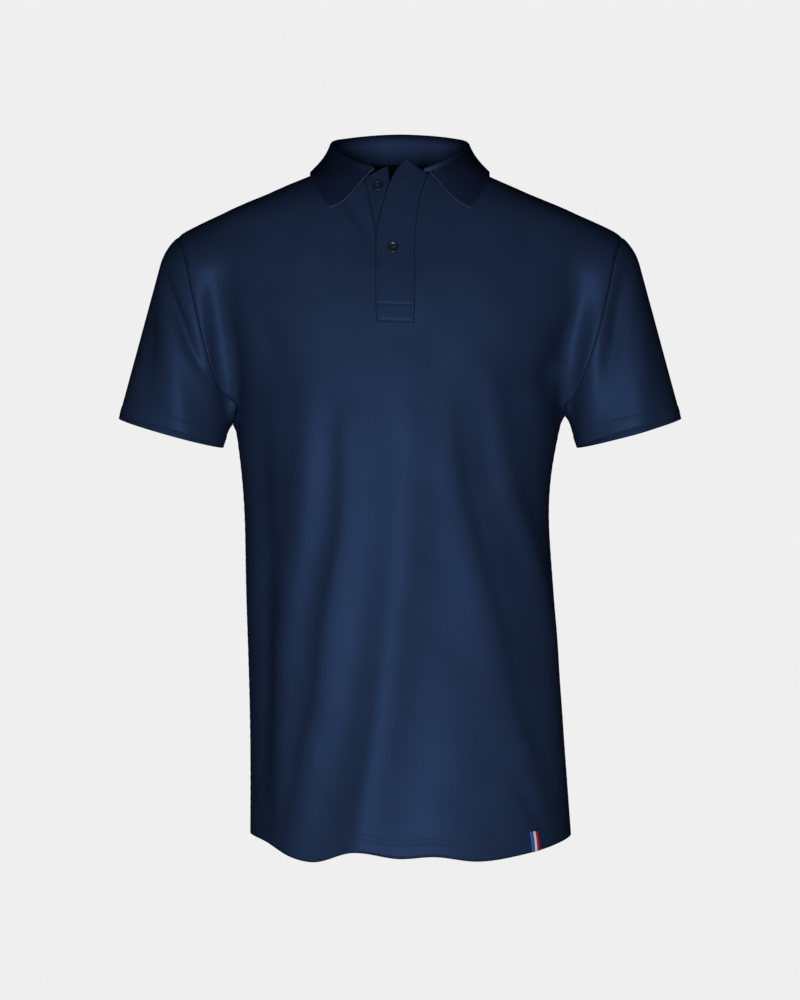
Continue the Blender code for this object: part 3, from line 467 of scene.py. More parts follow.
def panel_grid(side):
    """The front (-1) or back (1) panel from the right side seam to the left one, each column hem to top."""
    shoulder = math.pi / 2
    beside_neck = [column(lambda drop: arm * (0.0665 + 0.022 * fade(drop / 0.45)),
                          neckline([arm * shoulder])[0], side) for arm in (-1, 1)]
    edges = [np.concatenate([side_seam(arm), armhole(side, arm)[1:]]) for arm in (-1, 1)]
    if side < 0:
        right_neck = neckline(np.linspace(-shoulder, slot_turn(1), NECK_STEPS + 1))
        left_neck = neckline(np.linspace(slot_turn(2), shoulder, NECK_STEPS + 1))
        right_slot = column(lambda drop: table(SLOT, 1, drop), right_neck[-1], side, slot=True)
        left_slot = column(lambda drop: table(SLOT, 2, drop), left_neck[0], side, slot=True)
        lines = [edges[0], beside_neck[0], right_slot, left_slot, beside_neck[1], edges[1]]
        tops = [None, right_neck, None, left_neck, None]
        steps = [SHOULDER_STEPS, NECK_STEPS, SLOT_STEPS, NECK_STEPS, SHOULDER_STEPS]
    else:
        half = NECK_STEPS + SLOT_STEPS // 2
        right_neck = neckline(np.linspace(-shoulder, -2 * shoulder, half + 1))
        left_neck = neckline(np.linspace(2 * shoulder, shoulder, half + 1))
        middle = column(lambda drop: 0.0 * drop, right_neck[-1], side)
        lines = [edges[0], beside_neck[0], middle, beside_neck[1], edges[1]]
        tops = [None, right_neck, left_neck, None]
        steps = [SHOULDER_STEPS, half, half, SHOULDER_STEPS]
    blocks = []
    for left, right, top, n in zip(lines, lines[1:], tops, steps):
        bottom = between(left[0], right[0], n, side)
        top = between(left[-1], right[-1], n) if top is None else top
        block = patch(left, right, bottom, top)
        inner = onto_form(block[1:-1, 1:-1])
        inner[..., 1] = side * np.maximum(side * inner[..., 1], 0.0006)
        block[1:-1, 1:-1] = inner
        blocks.append(block if not blocks else block[1:])
    return np.concatenate(blocks)


def lengths(grid, axis):
    """Distance run along each grid line from its start."""
    step = np.linalg.norm(np.diff(grid, axis=axis), axis=-1)
    start = np.zeros_like(np.take(step, [0], axis=axis))
    return np.concatenate([start, np.cumsum(step, axis=axis)], axis=axis)


def inset(grid, outward, cyclic=False):
    """Draws a grid's edges in by half a seam's gap, square to the seam."""
    out = grid.copy()
    every = slice(None)
    round_it = np.roll(grid, -1, axis=0) - np.roll(grid, 1, axis=0) if cyclic else np.gradient(grid, axis=0)
    pairs = [((every, 0), (every, 1), round_it), ((every, -1), (every, -2), round_it)]
    if not cyclic:
        along = np.gradient(grid, axis=1)
        pairs += [(0, 1, along), (-1, -2, along)]
    for edge, inner, tangent in pairs:
        square = unit(np.cross(outward[edge], tangent[edge]))
        square *= np.sign(np.sum(square * (grid[inner] - grid[edge]), -1))[:, None]
        out[edge] += SEAM_GAP / 2 * square
    return out


def placed(name, data):
    """An object for this mesh, light or camera, made at the origin and put in the scene."""
    made = bpy.data.objects.new(name, data)
    bpy.context.scene.collection.objects.link(made)
    return made


def new_material(name):
    """A material with nodes, its node tree and its shader."""
    material = bpy.data.materials.new(name)
    material.use_nodes = True
    return material, material.node_tree, material.node_tree.nodes["Principled BSDF"]


def cloth(name, grid, outward, thickness, material, around=None, keep=None, attributes=None):
    """A closed sheet: the grid moved half a layer out and the rest of its wall in, with a rim between.

    A sleeve closes on itself, and gives as around the width that its pattern has round the arm.
    """
    cyclic = around is not None
    columns, rows = grid.shape[:2]
    across, down = lengths(grid, 0), lengths(grid, 1)
    across = across - across[columns // 2]
    ids = np.arange(columns * rows).reshape(columns, rows)
    beside = np.roll(ids, -1, axis=0) if cyclic else ids[1:]
    here = ids if cyclic else ids[:-1]
    quads = np.stack([here[:, :-1], beside[:, :-1], beside[:, 1:], here[:, 1:]], -1)
    quads = (quads if keep is None else quads[keep]).reshape(-1, 4)
    points, normals = grid.reshape(-1, 3), outward.reshape(-1, 3)
    thick = np.broadcast_to(thickness, grid.shape[:2]).reshape(-1, 1)
    a, b, c = points[quads[:, 0]], points[quads[:, 1]], points[quads[:, 3]]
    if np.sum(np.cross(b - a, c - a) * normals[quads[:, 0]]) < 0:
        quads = quads[:, ::-1]
    used, quads = np.unique(quads, return_inverse=True)
    quads = quads.reshape(-1, 4)
    count = len(used)
    edges = np.concatenate([quads[:, [k, (k + 1) % 4]] for k in range(4)])
    code, back = edges[:, 0] * count + edges[:, 1], edges[:, 1] * count + edges[:, 0]
    rim = edges[~np.isin(code, back)]
    rim = np.stack([rim[:, 1], rim[:, 0], rim[:, 0] + count, rim[:, 1] + count], -1)
    faces = np.concatenate([quads, quads[:, ::-1] + count, rim])
    outer = points[used] + normals[used] * JERSEY / 2
    inner = points[used] - normals[used] * (thick[used] - JERSEY / 2)
    mesh = bpy.data.meshes.new(name)
    mesh.vertices.add(2 * count)
    mesh.vertices.foreach_set("co", np.concatenate([outer, inner]).ravel())
    mesh.loops.add(faces.size)
    mesh.loops.foreach_set("vertex_index", faces.ravel().astype(np.int32))
    mesh.polygons.add(len(faces))
    mesh.polygons.foreach_set("loop_start", np.arange(len(faces), dtype=np.int32) * 4)
    mesh.update(calc_edges=True)
    flat = np.stack([across.ravel()[used], down.ravel()[used]], -1)
    if cyclic:
        flat[:, 0] = (np.arange(columns)[:, None] * np.ones(rows) / columns).ravel()[used]
    uv = mesh.uv_layers.new(name="UVMap")
    corner = faces.ravel() % count
    if cyclic:
        share = flat[corner, 0].reshape(-1, 4)
        wraps = (share.max(1) - share.min(1) > 0.5)[:, None] & (share < 0.5)
        share = (share + wraps) * around
        corner_uv = np.stack([share.ravel(), flat[corner, 1]], -1)
    else:
        corner_uv = flat[corner]
    uv.data.foreach_set("uv", corner_uv.astype(np.float32).ravel())
    for key, values in (attributes or {}).items():
        layer = mesh.attributes.new(name=key, type="FLOAT", domain="POINT")
        layer.data.foreach_set("value", np.tile(values.reshape(-1)[used], 2).astype(np.float32))
    mesh.shade_smooth()
    mesh.materials.append(material)
    return placed(name, mesh)


def linear(hex_colour):
    """An sRGB hex value as linear red, green, blue and alpha 1."""
    parts = [int(hex_colour[k:k + 2], 16) / 255 for k in (1, 3, 5)]
    return (*[c / 12.92 if c <= 0.04045 else ((c + 0.055) / 1.055) ** 2.4 for c in parts], 1.0)


def node(tree, kind, settings=None, inputs=None):
    """Adds a node, sets its properties, and sets or links its inputs."""
    made = tree.nodes.new(kind)
    for key, value in (settings or {}).items():
        setattr(made, key, value)
    for key, value in (inputs or {}).items():
        if isinstance(value, bpy.types.NodeSocket):
            tree.links.new(value, made.inputs[key])
        else:
            made.inputs[key].default_value = value
    return made


PIQUE_PITCH = 0.0018     # width of one honeycomb cell of the knit, drawn a little coarse so that it shows
STITCH_LENGTH = 0.0030
STITCH_WIDTH = 0.0007
THREAD = "#26344F"
# painted shade: this dark colour is mixed in along the placket strips' edges to stand for the shadow at the fold
PAINTED_EDGE_SHADE = "#0B111D"


def pique(name, dark, light):
    """Navy cotton piqué: a matt honeycomb knit, garment dyed, with lines of stitches along its hems.

    The honeycomb is a rounded cell pattern in the cloth's own flat coordinates, and the dye varies
    slowly over a few centimetres. Stitches lie where the first or second seam attribute, which is a
    distance in metres, is zero; a sine along the cloth breaks them into separate stitches. A painted
    shadow darkens the colour along a folded edge, where the edge shade attribute is set.
    """
    material, tree, shader = new_material(name)
    uv = node(tree, "ShaderNodeUVMap", {"uv_map": "UVMap"})
    cells = node(tree, "ShaderNodeTexVoronoi", {"feature": "SMOOTH_F1", "voronoi_dimensions": "2D"},
                 {"Vector": uv.outputs["UV"], "Scale": 1 / PIQUE_PITCH, "Randomness": 0.35,
                  "Smoothness": 0.6})
    place = node(tree, "ShaderNodeTexCoord")
    dye = node(tree, "ShaderNodeTexNoise", {},
               {"Vector": place.outputs["Object"], "Scale": 22.0, "Detail": 3.0})
    blend = node(tree, "ShaderNodeMix", {"data_type": "RGBA"},
                 {"Factor": dye.outputs["Fac"], "A": linear(dark), "B": linear(light)})
    lines = [node(tree, "ShaderNodeAttribute", {"attribute_name": key}) for key in ("first_seam", "second_seam")]
    one, two = (node(tree, "ShaderNodeMath", {"operation": "ABSOLUTE"}, {0: seam.outputs["Fac"]})
                for seam in lines)
    nearer = node(tree, "ShaderNodeMath", {"operation": "MINIMUM"},
                  {0: one.outputs["Value"], 1: two.outputs["Value"]})
    line = node(tree, "ShaderNodeMapRange", {"interpolation_type": "SMOOTHSTEP"},
                {"Value": nearer.outputs["Value"], "From Min": 0.0, "From Max": STITCH_WIDTH,
                 "To Min": 1.0, "To Max": 0.0})
    along = node(tree, "ShaderNodeVectorMath", {"operation": "DOT_PRODUCT"},
                 {0: uv.outputs["UV"], 1: (2 * math.pi / STITCH_LENGTH, 2 * math.pi / STITCH_LENGTH, 0.0)})
    beat = node(tree, "ShaderNodeMath", {"operation": "SINE"}, {0: along.outputs["Value"]})
    shown = node(tree, "ShaderNodeMath", {"operation": "MULTIPLY_ADD", "use_clamp": True},
                 {0: beat.outputs["Value"], 1: 1.5, 2: 0.6})
    stitch = node(tree, "ShaderNodeMath", {"operation": "MULTIPLY"},
                  {0: line.outputs["Result"], 1: shown.outputs["Value"]})
    sewn_in = node(tree, "ShaderNodeMix", {"data_type": "RGBA"},
                   {"Factor": stitch.outputs["Value"], "A": blend.outputs["Result"], "B": linear(THREAD)})
    # painted shadow: darkens the colour along the placket strips' edges
    edge_shade_node = node(tree, "ShaderNodeAttribute", {"attribute_name": "painted_edge_shade"})
    darkened = node(tree, "ShaderNodeMix", {"data_type": "RGBA"},
                    {"Factor": edge_shade_node.outputs["Fac"], "A": sewn_in.outputs["Result"], "B": linear(PAINTED_EDGE_SHADE)})
    tree.links.new(darkened.outputs["Result"], shader.inputs["Base Color"])
    grain = node(tree, "ShaderNodeTexNoise", {},
                 {"Vector": place.outputs["Object"], "Scale": 260.0, "Detail": 2.0})
    height = node(tree, "ShaderNodeMath", {"operation": "MULTIPLY_ADD"},
                  {0: grain.outputs["Fac"], 1: 0.5, 2: cells.outputs["Distance"]})
    knit = node(tree, "ShaderNodeBump", {}, {"Strength": 0.35, "Distance": 0.00035,
                                             "Height": height.outputs["Value"]})
    trench = node(tree, "ShaderNodeMapRange", {"interpolation_type": "SMOOTHSTEP"},
                  {"Value": nearer.outputs["Value"], "From Min": 0.0, "From Max": 2.4 * STITCH_WIDTH,
                   "To Min": -1.0, "To Max": 0.0})
    pulled = node(tree, "ShaderNodeMath", {"operation": "ADD"},
                  {0: trench.outputs["Result"], 1: stitch.outputs["Value"]})
    seam = node(tree, "ShaderNodeBump", {},
                {"Strength": 0.6, "Distance": 0.0003, "Height": pulled.outputs["Value"],
                 "Normal": knit.outputs["Normal"]})
    tree.links.new(seam.outputs["Normal"], shader.inputs["Normal"])
    shader.inputs["Roughness"].default_value = 0.52
    shader.inputs["Specular IOR Level"].default_value = 0.5
    shader.inputs["Specular Tint"].default_value = linear("#5A80C4")
    return material


def banded(to_edge, band):
    """The wall: one layer, and nine tenths of a layer more after a smooth step into the turned-up band."""
    return JERSEY * (1 + 0.9 * fade((band - to_edge) / 0.002 + 1))


def sewn(base):
    """Folds a grid, and pulls the cloth in along its sewn edges, which also pucker a little.

    The dip is a bell of the distance from the seam; the pucker is a sine along the seam that dies away.
    """
    outward = form_normal(base)
    height = fold_height(base) + rumple(base)
    from_hem = lengths(base, 1)
    from_top = from_hem[:, -1:] - from_hem
    from_left = lengths(base, 0)
    beside = np.minimum(from_left, from_left[-1:] - from_left)
    dips = np.exp(-(from_top / SEAM_REACH) ** 2) + np.exp(-(beside / SEAM_REACH) ** 2)
    pucker = 0.0004 * np.sin(from_hem * 2 * math.pi / 0.011) * np.exp(-beside / 0.008) * (beside > 0)
    grid = base + (height + pucker - SEAM_DIP * dips)[..., None] * outward
    to_stitches = lengths(grid, 1) - HEM_BAND
    seams = {"first_seam": to_stitches, "second_seam": to_stitches + TWIN_NEEDLE}
    return grid, outward, seams


NAVY_DARK, NAVY_LIGHT = "#1D2A42", "#23324E"
body_cloth = pique("navy_cotton_pique", NAVY_DARK, NAVY_LIGHT)

base = panel_grid(-1)
grid, outward, seams = sewn(base)
first = SHOULDER_STEPS + NECK_STEPS
keep = np.ones((grid.shape[0] - 1, grid.shape[1] - 1), bool)
keep[first:first + SLOT_STEPS, SIDE_STEPS + ARMHOLE_STEPS - SLOT_ROWS:] = False
hem_thick = banded(lengths(grid, 1), HEM_BAND)
front = cloth("front_cloth", inset(grid, outward), outward, hem_thick, body_cloth, keep=keep,
              attributes=seams)
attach(front, "root")
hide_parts("front_panel")

# ================================================================ back panel
# The back is one plain piece of the same piqué, sewn to the front along shoulders and sides. It
# hangs from the shoulder blades in a few long soft folds.

base = panel_grid(1)
grid, outward, seams = sewn(base)
hem_thick = banded(lengths(grid, 1), HEM_BAND)
back = cloth("back_cloth", inset(grid, outward), outward, hem_thick, body_cloth, attributes=seams)
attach(back, "root")
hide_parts("back_panel")

# ================================================================ sleeves
# Each sleeve is one piece of piqué sewn into a tube and set into the armhole, with a narrow
# turned-up hem at the cuff. It hangs at a slant over an arm that isn't there.

SLEEVE_STEPS = 72
SLEEVE_AROUND = 0.39     # width that the knit pattern is laid out on, round the arm
CUFF_BAND = 0.0145


def sleeve_grid(arm):
    """Rings from the armhole seam to the cuff: each point goes straight to its place on the cuff's ellipse."""
    front_seam, back_seam = armhole(-1, arm)[::-1], armhole(1, arm)
    seam = np.concatenate([front_seam, back_seam[1:-1]])
    turn = np.linspace(0, 2 * math.pi, len(seam), endpoint=False)
    line = CUFF_CENTRE - ARM_TOP
    sideways = unit(np.cross(line, (0.0, 1.0, 0.0)))
    sideways = sideways * np.sign(sideways[0])
    facing = unit(np.cross(sideways, unit(line)))
    facing = facing * -np.sign(facing[1])
    cuff = (CUFF_CENTRE + np.cos(turn)[:, None] * sideways * ARM_WIDTH[1]
            + np.sin(turn)[:, None] * facing * ARM_DEPTH[1])
    cuff[:, 0] *= arm
    places = np.linspace(0, 1, SLEEVE_STEPS + 1) ** 1.1
    made = seam[:, None] + (cuff - seam)[:, None] * places[None, :, None]
    made[:, 1:] = onto_form(made[:, 1:])
    return made


for name, arm in (("sleeve_left", 1), ("sleeve_right", -1)):
    base = sleeve_grid(arm)
    outward = form_normal(base)
    from_seam = lengths(base, 1)
    to_cuff = from_seam[:, -1:] - from_seam
    height = fold_height(base) + rumple(base) - SEAM_DIP * np.exp(-(from_seam / SEAM_REACH) ** 2)
    height += 0.0005 * np.exp(-((to_cuff - CUFF_BAND + 0.004) / 0.006) ** 2)
    height -= 0.0004 * np.exp(-((to_cuff - CUFF_BAND) / 0.0018) ** 2)
    grid = base + height[..., None] * outward
    seams = {"first_seam": to_cuff - CUFF_BAND, "second_seam": to_cuff - CUFF_BAND + TWIN_NEEDLE}
    sleeve = cloth(name + "_cloth", inset(grid, outward, cyclic=True), outward, banded(to_cuff, CUFF_BAND),
                   body_cloth, around=SLEEVE_AROUND, attributes=seams)
    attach(sleeve, "root")
    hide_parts(name)

# ================================================================ collar
# The collar is a band of flat ribbed knit, thicker than the body cloth, with a finished selvedge.
# Its lower edge is sewn to the neckline; it stands up, rolls over and falls to two points.

FOLD_LINE = np.array([
    (0.00, -0.0260, -0.0750, -0.0130),
    (0.07, -0.0430, -0.0640, -0.0055),
    (0.14, -0.0590, -0.0410, 0.0050),
    (0.22, -0.0685, -0.0020, 0.0200),
    (0.36, -0.0530, 0.0430, 0.0325),
    (0.50, 0.0000, 0.0600, 0.0385),
    (0.64, 0.0530, 0.0430, 0.0325),
])
OUTER_EDGE = np.array([
    (0.00, -0.0720, -0.0880, -0.0570),
    (0.05, -0.0838, -0.0760, -0.0435),
    (0.10, -0.0905, -0.0590, -0.0290),
    (0.16, -0.0935, -0.0300, -0.0155),
    (0.24, -0.0930, 0.0060, -0.0080),
    (0.36, -0.0720, 0.0600, -0.0080),
    (0.50, 0.0000, 0.0850, -0.0050),
    (0.64, 0.0720, 0.0600, -0.0080),
])
COLLAR_CLOTH = 0.0020
COLLAR_BASE = 0.0018
COLLAR_ROLL = 0.0026
COLLAR_CLEAR = 0.0026
COLLAR_OVER_PLACKET = 0.0046
COLLAR_COLUMNS, FALL_ROWS = 180, 30


def grid_normals(grid):
    """The cross product of the grid's two tangents."""
    return unit(np.cross(np.gradient(grid, axis=0), np.gradient(grid, axis=1)))


def lifted(p, clearance):
    """Moves points out until they are at least this far over the folded cloth."""
    for _ in range(4):
        p = p + np.maximum(clearance + fold_height(p) - form(p), 0.0)[..., None] * form_normal(p)
    return p


def collar_grid():
    """Columns from the right front end round the back to the left one, each from seam to outer edge."""
    shoulder = math.pi / 2
    turns = np.concatenate([np.linspace(slot_turn(1), -shoulder, 60),
                            np.linspace(-shoulder, -3 * shoulder, 120)[1:],
                            np.linspace(shoulder, slot_turn(2), 60)[1:]])
    seam = resampled(neckline(turns), np.linspace(0, 1, COLLAR_COLUMNS + 1))
    share = np.linspace(0, 1, COLLAR_COLUMNS + 1)
    half, mirror = np.minimum(share, 1 - share), np.where(share > 0.5, -1.0, 1.0)
    fold = np.stack([table(FOLD_LINE, k, half) for k in (1, 2, 3)], -1)
    edge = np.stack([table(OUTER_EDGE, k, half) for k in (1, 2, 3)], -1)
    fold[:, 0] *= mirror
    edge[:, 0] *= mirror
    outward_there = form_normal(seam)
    upward = unit(np.cross(np.gradient(seam, axis=0), outward_there))
    upward *= np.sign(upward[:, 2:3])
    start = seam + COLLAR_BASE * upward
    stand, fall = unit(start - fold), unit(edge - fold)
    across = unit(fall - np.sum(fall * stand, -1, keepdims=True) * stand)
    roll = COLLAR_ROLL
    inner = fold + roll * stand
    outer = inner + 2 * roll * across
    rows = [start + t * (inner - start) + 0.0012 * math.sin(math.pi * t) * upward
            for t in np.linspace(0, 1, 12)]
    rows += [fold + roll * (1 - math.sin(a)) * stand + roll * (1 - math.cos(a)) * across
             for a in np.linspace(0, math.pi, 11)[1:-1]]
    out = unit(edge - seam)
    belly = (0.0030 - 0.0055 * np.exp(-((half - 0.24) / 0.09) ** 2))[:, None]
    forward = unit(np.gradient(fold, axis=0)) * -mirror[:, None] * np.exp(-(half / 0.035) ** 2)[:, None]
    rows += [outer + t * (edge - outer) + belly * math.sin(math.pi * t) * unit(across + out)
             + 0.0040 * math.sin(math.pi * t ** 1.6) * forward for t in np.linspace(0, 1, FALL_ROWS)]
    made = np.stack(rows, 1)
    fall_part = made[:, -FALL_ROWS:]
    over_strip = np.exp(-((fall_part[..., 0] - 0.022) / 0.018) ** 4)
    close = COLLAR_CLEAR + (COLLAR_OVER_PLACKET - COLLAR_CLEAR) * over_strip
    close = np.where(fall_part[..., 1] > -0.02, COLLAR_CLEAR, close)
    made[:, -FALL_ROWS:] = lifted(fall_part, close)
    return made


RIB_PITCH = 0.0021
# the stand's colour is painted light: the inside of the collar is coloured paler to stand for light reaching it
COLLAR_DARK, COLLAR_EDGE, COLLAR_STAND_PAINTED_LIGHT = "#182138", "#2B3A58", "#34466B"


def ribbed_knit(name, edge_width):
    """Flat-knitted cotton rib: matt and darker than the piqué, paler at the selvedge, with painted light on the
    stand, which is coloured paler.

    Ribs are a sine of the distance along the collar; the selvedge is a band of the edge attribute.
    """
    material, tree, shader = new_material(name)
    uv = node(tree, "ShaderNodeUVMap", {"uv_map": "UVMap"})
    split = node(tree, "ShaderNodeSeparateXYZ", {}, {"Vector": uv.outputs["UV"]})
    turns = node(tree, "ShaderNodeMath", {"operation": "MULTIPLY"},
                 {0: split.outputs["X"], 1: 2 * math.pi / RIB_PITCH})
    rib = node(tree, "ShaderNodeMath", {"operation": "SINE"}, {0: turns.outputs["Value"]})
    edge = node(tree, "ShaderNodeAttribute", {"attribute_name": "to_edge"})
    near = node(tree, "ShaderNodeMapRange", {"interpolation_type": "SMOOTHSTEP"},
                {"Value": edge.outputs["Fac"], "From Min": edge_width * 0.6, "From Max": edge_width * 1.3,
                 "To Min": 1.0, "To Max": 0.0})
    blend = node(tree, "ShaderNodeMix", {"data_type": "RGBA"},
                 {"Factor": near.outputs["Result"], "A": linear(COLLAR_DARK), "B": linear(COLLAR_EDGE)})
    # painted light: the stand is mixed towards a paler colour
    stand = node(tree, "ShaderNodeAttribute", {"attribute_name": "stand"})
    whole = node(tree, "ShaderNodeMix", {"data_type": "RGBA"},
                 {"Factor": stand.outputs["Fac"], "A": blend.outputs["Result"], "B": linear(COLLAR_STAND_PAINTED_LIGHT)})
    tree.links.new(whole.outputs["Result"], shader.inputs["Base Color"])
    raised = node(tree, "ShaderNodeBump", {},
                  {"Strength": 0.4, "Distance": 0.0003, "Height": rib.outputs["Value"]})
    tree.links.new(raised.outputs["Normal"], shader.inputs["Normal"])
    shader.inputs["Roughness"].default_value = 0.6
    shader.inputs["Specular IOR Level"].default_value = 0.35
    shader.inputs["Specular Tint"].default_value = linear("#5A80C4")
    return material


collar_cloth = ribbed_knit("navy_rib_knit_collar", 0.0009)
grid = collar_grid()
outward = grid_normals(grid)
outward *= np.sign(np.sum(outward[:, 1] * form_normal(grid[:, 0]), -1))[:, None, None]
down = lengths(grid, 1)
side_way = lengths(grid, 0)
to_edge = np.minimum(down[:, -1:] - down + 0.0005, np.minimum(side_way, side_way[-1:] - side_way))
# share of the collar that is the stand, where painted light makes the colour paler
stand = fade((0.62 * down[:, -FALL_ROWS:-FALL_ROWS + 1] + 0.008 - down) / 0.010)
collar = cloth("collar_knit", grid, outward, COLLAR_CLOTH, collar_cloth,
               attributes={"to_edge": to_edge, "stand": stand})
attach(collar, "root")
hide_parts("collar")

# ================================================================ placket
# Two folded and pressed strips of the piqué finish the slot. The under strip lies inside the right
# edge, and the top strip is boxed down over the front with its left part loose where it is open.

TOP_STRIP = np.array([
    (0.0068, 0.0054, 0.0200, 0.0285, 0.0085, 0.0020),
    (0.0220, -0.0061, 0.0340, 0.0242, 0.0070, 0.0020),
    (0.0388, -0.0136, 0.0510, 0.0198, 0.0052, 0.0019),
    (0.0622, -0.0202, 0.0700, 0.0172, 0.0034, 0.0019),
    (0.0855, -0.0246, 0.0920, 0.0154, 0.0022, 0.0019),
    (0.1250, -0.0252, 0.1250, 0.0153, 0.0019, 0.0019),
    (0.1500, -0.0249, 0.1510, 0.0151, 0.0019, 0.0019),
    (0.1755, -0.0244, 0.1770, 0.0146, 0.0019, 0.0019),
])
UNDER_STRIP = np.array([
    (0.0225, -0.0395, 0.0090, -0.0125, -0.0032, -0.0010),
    (0.0360, -0.0360, 0.0300, -0.0100, -0.0030, -0.0014),
    (0.0560, -0.0320, 0.0560, -0.0060, -0.0026, -0.0018),
    (0.0830, -0.0283, 0.0830, -0.0010, -0.0022, -0.0020),
    (0.1150, -0.0250, 0.1150, 0.0030, -0.0020, -0.0020),
    (0.1650, -0.0230, 0.1650, 0.0045, -0.0020, -0.0020),
])
PLACKET_CLOTH = 0.0016
EDGE_STITCH, BOX_STITCH = 0.0022, 0.0190     # lines of stitches, in from the edge and up from the bottom


def strip_grid(rows, down, across):
    """A strip from its right edge to its left one: points of the form, lifted as the strip stands off."""
    t = np.linspace(0, 1, down)
    numbered = np.concatenate([np.linspace(0, 1, len(rows))[:, None], rows], 1)
    KNOTS.clear()
    right_drop, right_x, left_drop, left_x, right_lift, left_lift = (
        table(numbered, c, t)[None] for c in range(1, 7))
    u = np.linspace(0, 1, across)[:, None]
    on = front_or_back(right_x + u * (left_x - right_x), right_drop + u * (left_drop - right_drop), -1)
    lift = left_lift + (right_lift - left_lift) * (1 - u) ** 1.6
    return on + (fold_height(on) + lift)[..., None] * form_normal(on)


placket_cloth = pique("navy_pique_placket_painted_edge_shade", "#1C2941", "#22314D")
strips = {}
for name, rows in (("placket_under", UNDER_STRIP), ("placket_top", TOP_STRIP)):
    grid = strip_grid(rows, 200, 64)
    outward = grid_normals(grid)
    outward *= -np.sign(outward[..., 1:2])
    from_right, from_top = lengths(grid, 0), lengths(grid, 1)
    from_bottom = from_top[:, -1:] - from_top
    rim = np.minimum(np.minimum(from_right, from_right[-1:] - from_right), from_bottom)
    # the edge shade attribute paints a shadow line along each strip's edges
    seams = {"first_seam": rim - EDGE_STITCH, "second_seam": from_bottom - BOX_STITCH,
             "painted_edge_shade": 0.9 * np.exp(-(rim / 0.0009) ** 2)}
    trench = (np.exp(-((rim - EDGE_STITCH) / 0.0012) ** 2)
              + np.exp(-((from_bottom - BOX_STITCH) / 0.0012) ** 2))
    grid = grid - (0.0003 * trench + 0.0005 * np.exp(-(rim / 0.0011) ** 2))[..., None] * outward
    strips[name] = grid, outward
    strip = cloth(name + "_cloth", grid, outward, PLACKET_CLOTH, placket_cloth, attributes=seams)
    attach(strip, "root")
    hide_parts(name)

# ================================================================ buttons
# Two dark four-hole buttons of polyester, dished inside a raised rim and polished, each sewn on
# with crossed thread. The upper one is on the under strip, the lower one on the top strip.

BUTTON_ACROSS, BUTTON_THICK, BUTTON_SEAT = 0.0115, 0.0026, 0.0005
HOLE_OUT, HOLE_ACROSS = 0.00125, 0.0011
FACE_LEVEL = 0.775       # the dished face's height, as a share of the thickness
BUTTONS = {"button_upper": ("placket_under", -0.0229, 0.0328),
           "button_lower": ("placket_top", -0.0073, 0.0985)}

polyester, tree, shader = new_material("polished_polyester_button")
place = node(tree, "ShaderNodeTexCoord")
swirl = node(tree, "ShaderNodeTexNoise", {},
             {"Vector": place.outputs["Object"], "Scale": 420.0, "Distortion": 1.5})
blend = node(tree, "ShaderNodeMix", {"data_type": "RGBA"},
             {"Factor": swirl.outputs["Fac"], "A": linear("#0E141F"), "B": linear("#1B2534")})
tree.links.new(blend.outputs["Result"], shader.inputs["Base Color"])
shader.inputs["Roughness"].default_value = 0.34
shader.inputs["IOR"].default_value = 1.54

thread, tree, shader = new_material("navy_sewing_thread")
shader.inputs["Base Color"].default_value = linear("#22304A")
shader.inputs["Roughness"].default_value = 0.7


def surface(name, points, material, wraps=(False, False)):
    """A grid of points as quads, joined round in the directions that wrap."""
    columns, rows = points.shape[:2]
    ids = np.arange(columns * rows).reshape(columns, rows)
    a = ids if wraps[0] else ids[:-1]
    b = np.roll(ids, -1, axis=0) if wraps[0] else ids[1:]
    if wraps[1]:
        quads = np.stack([a, b, np.roll(b, -1, axis=1), np.roll(a, -1, axis=1)], -1)
    else:
        quads = np.stack([a[:, :-1], b[:, :-1], b[:, 1:], a[:, 1:]], -1)
    mesh = bpy.data.meshes.new(name)
    mesh.from_pydata(points.reshape(-1, 3).tolist(), [], quads.reshape(-1, 4).tolist())
    mesh.shade_smooth()
    mesh.materials.append(material)
    return placed(name, mesh)


def button_points(centre, right, up, normal):
    """A turned profile, with the face sunk at four holes by a bell of the distance to the nearest one."""
    r, h = BUTTON_ACROSS / 2, BUTTON_THICK
    profile = np.array([(1e-6, 0.0), (0.55 * r, 0.0), (0.88 * r, 0.22 * h), (r, 0.5 * h), (0.99 * r, 0.75 * h),
                        (0.95 * r, 0.93 * h), (0.89 * r, h), (0.82 * r, 0.97 * h), (0.74 * r, 0.84 * h),
                        (0.64 * r, 0.78 * h)])
    face = np.stack([np.linspace(0.62 * r, 1e-6, 34), np.full(34, FACE_LEVEL * h)], -1)
    profile = np.concatenate([profile, face])
    turn = np.linspace(0, 2 * math.pi, 96, endpoint=False)
    x = np.cos(turn)[:, None] * profile[:, 0]
    y = np.sin(turn)[:, None] * profile[:, 0]
    z = np.ones((96, 1)) * profile[:, 1]
    away = np.hypot(np.abs(x) - HOLE_OUT, np.abs(y) - HOLE_OUT)
    on_face = np.arange(len(profile)) >= 10
    z = z - 0.0012 * np.exp(-(away / (HOLE_ACROSS / 2)) ** 4) * on_face
    return centre + x[..., None] * right + y[..., None] * up + z[..., None] * normal


def tube(path, radius, sides=8):
    """A circle carried along a path, square to it."""
    tangent = unit(np.gradient(path, axis=0))
    side = unit(np.cross(tangent, (0.3, 0.2, 0.93)))
    other = np.cross(tangent, side)
    turn = np.linspace(0, 2 * math.pi, sides, endpoint=False)
    return path[None] + radius * (np.cos(turn)[:, None, None] * side + np.sin(turn)[:, None, None] * other)


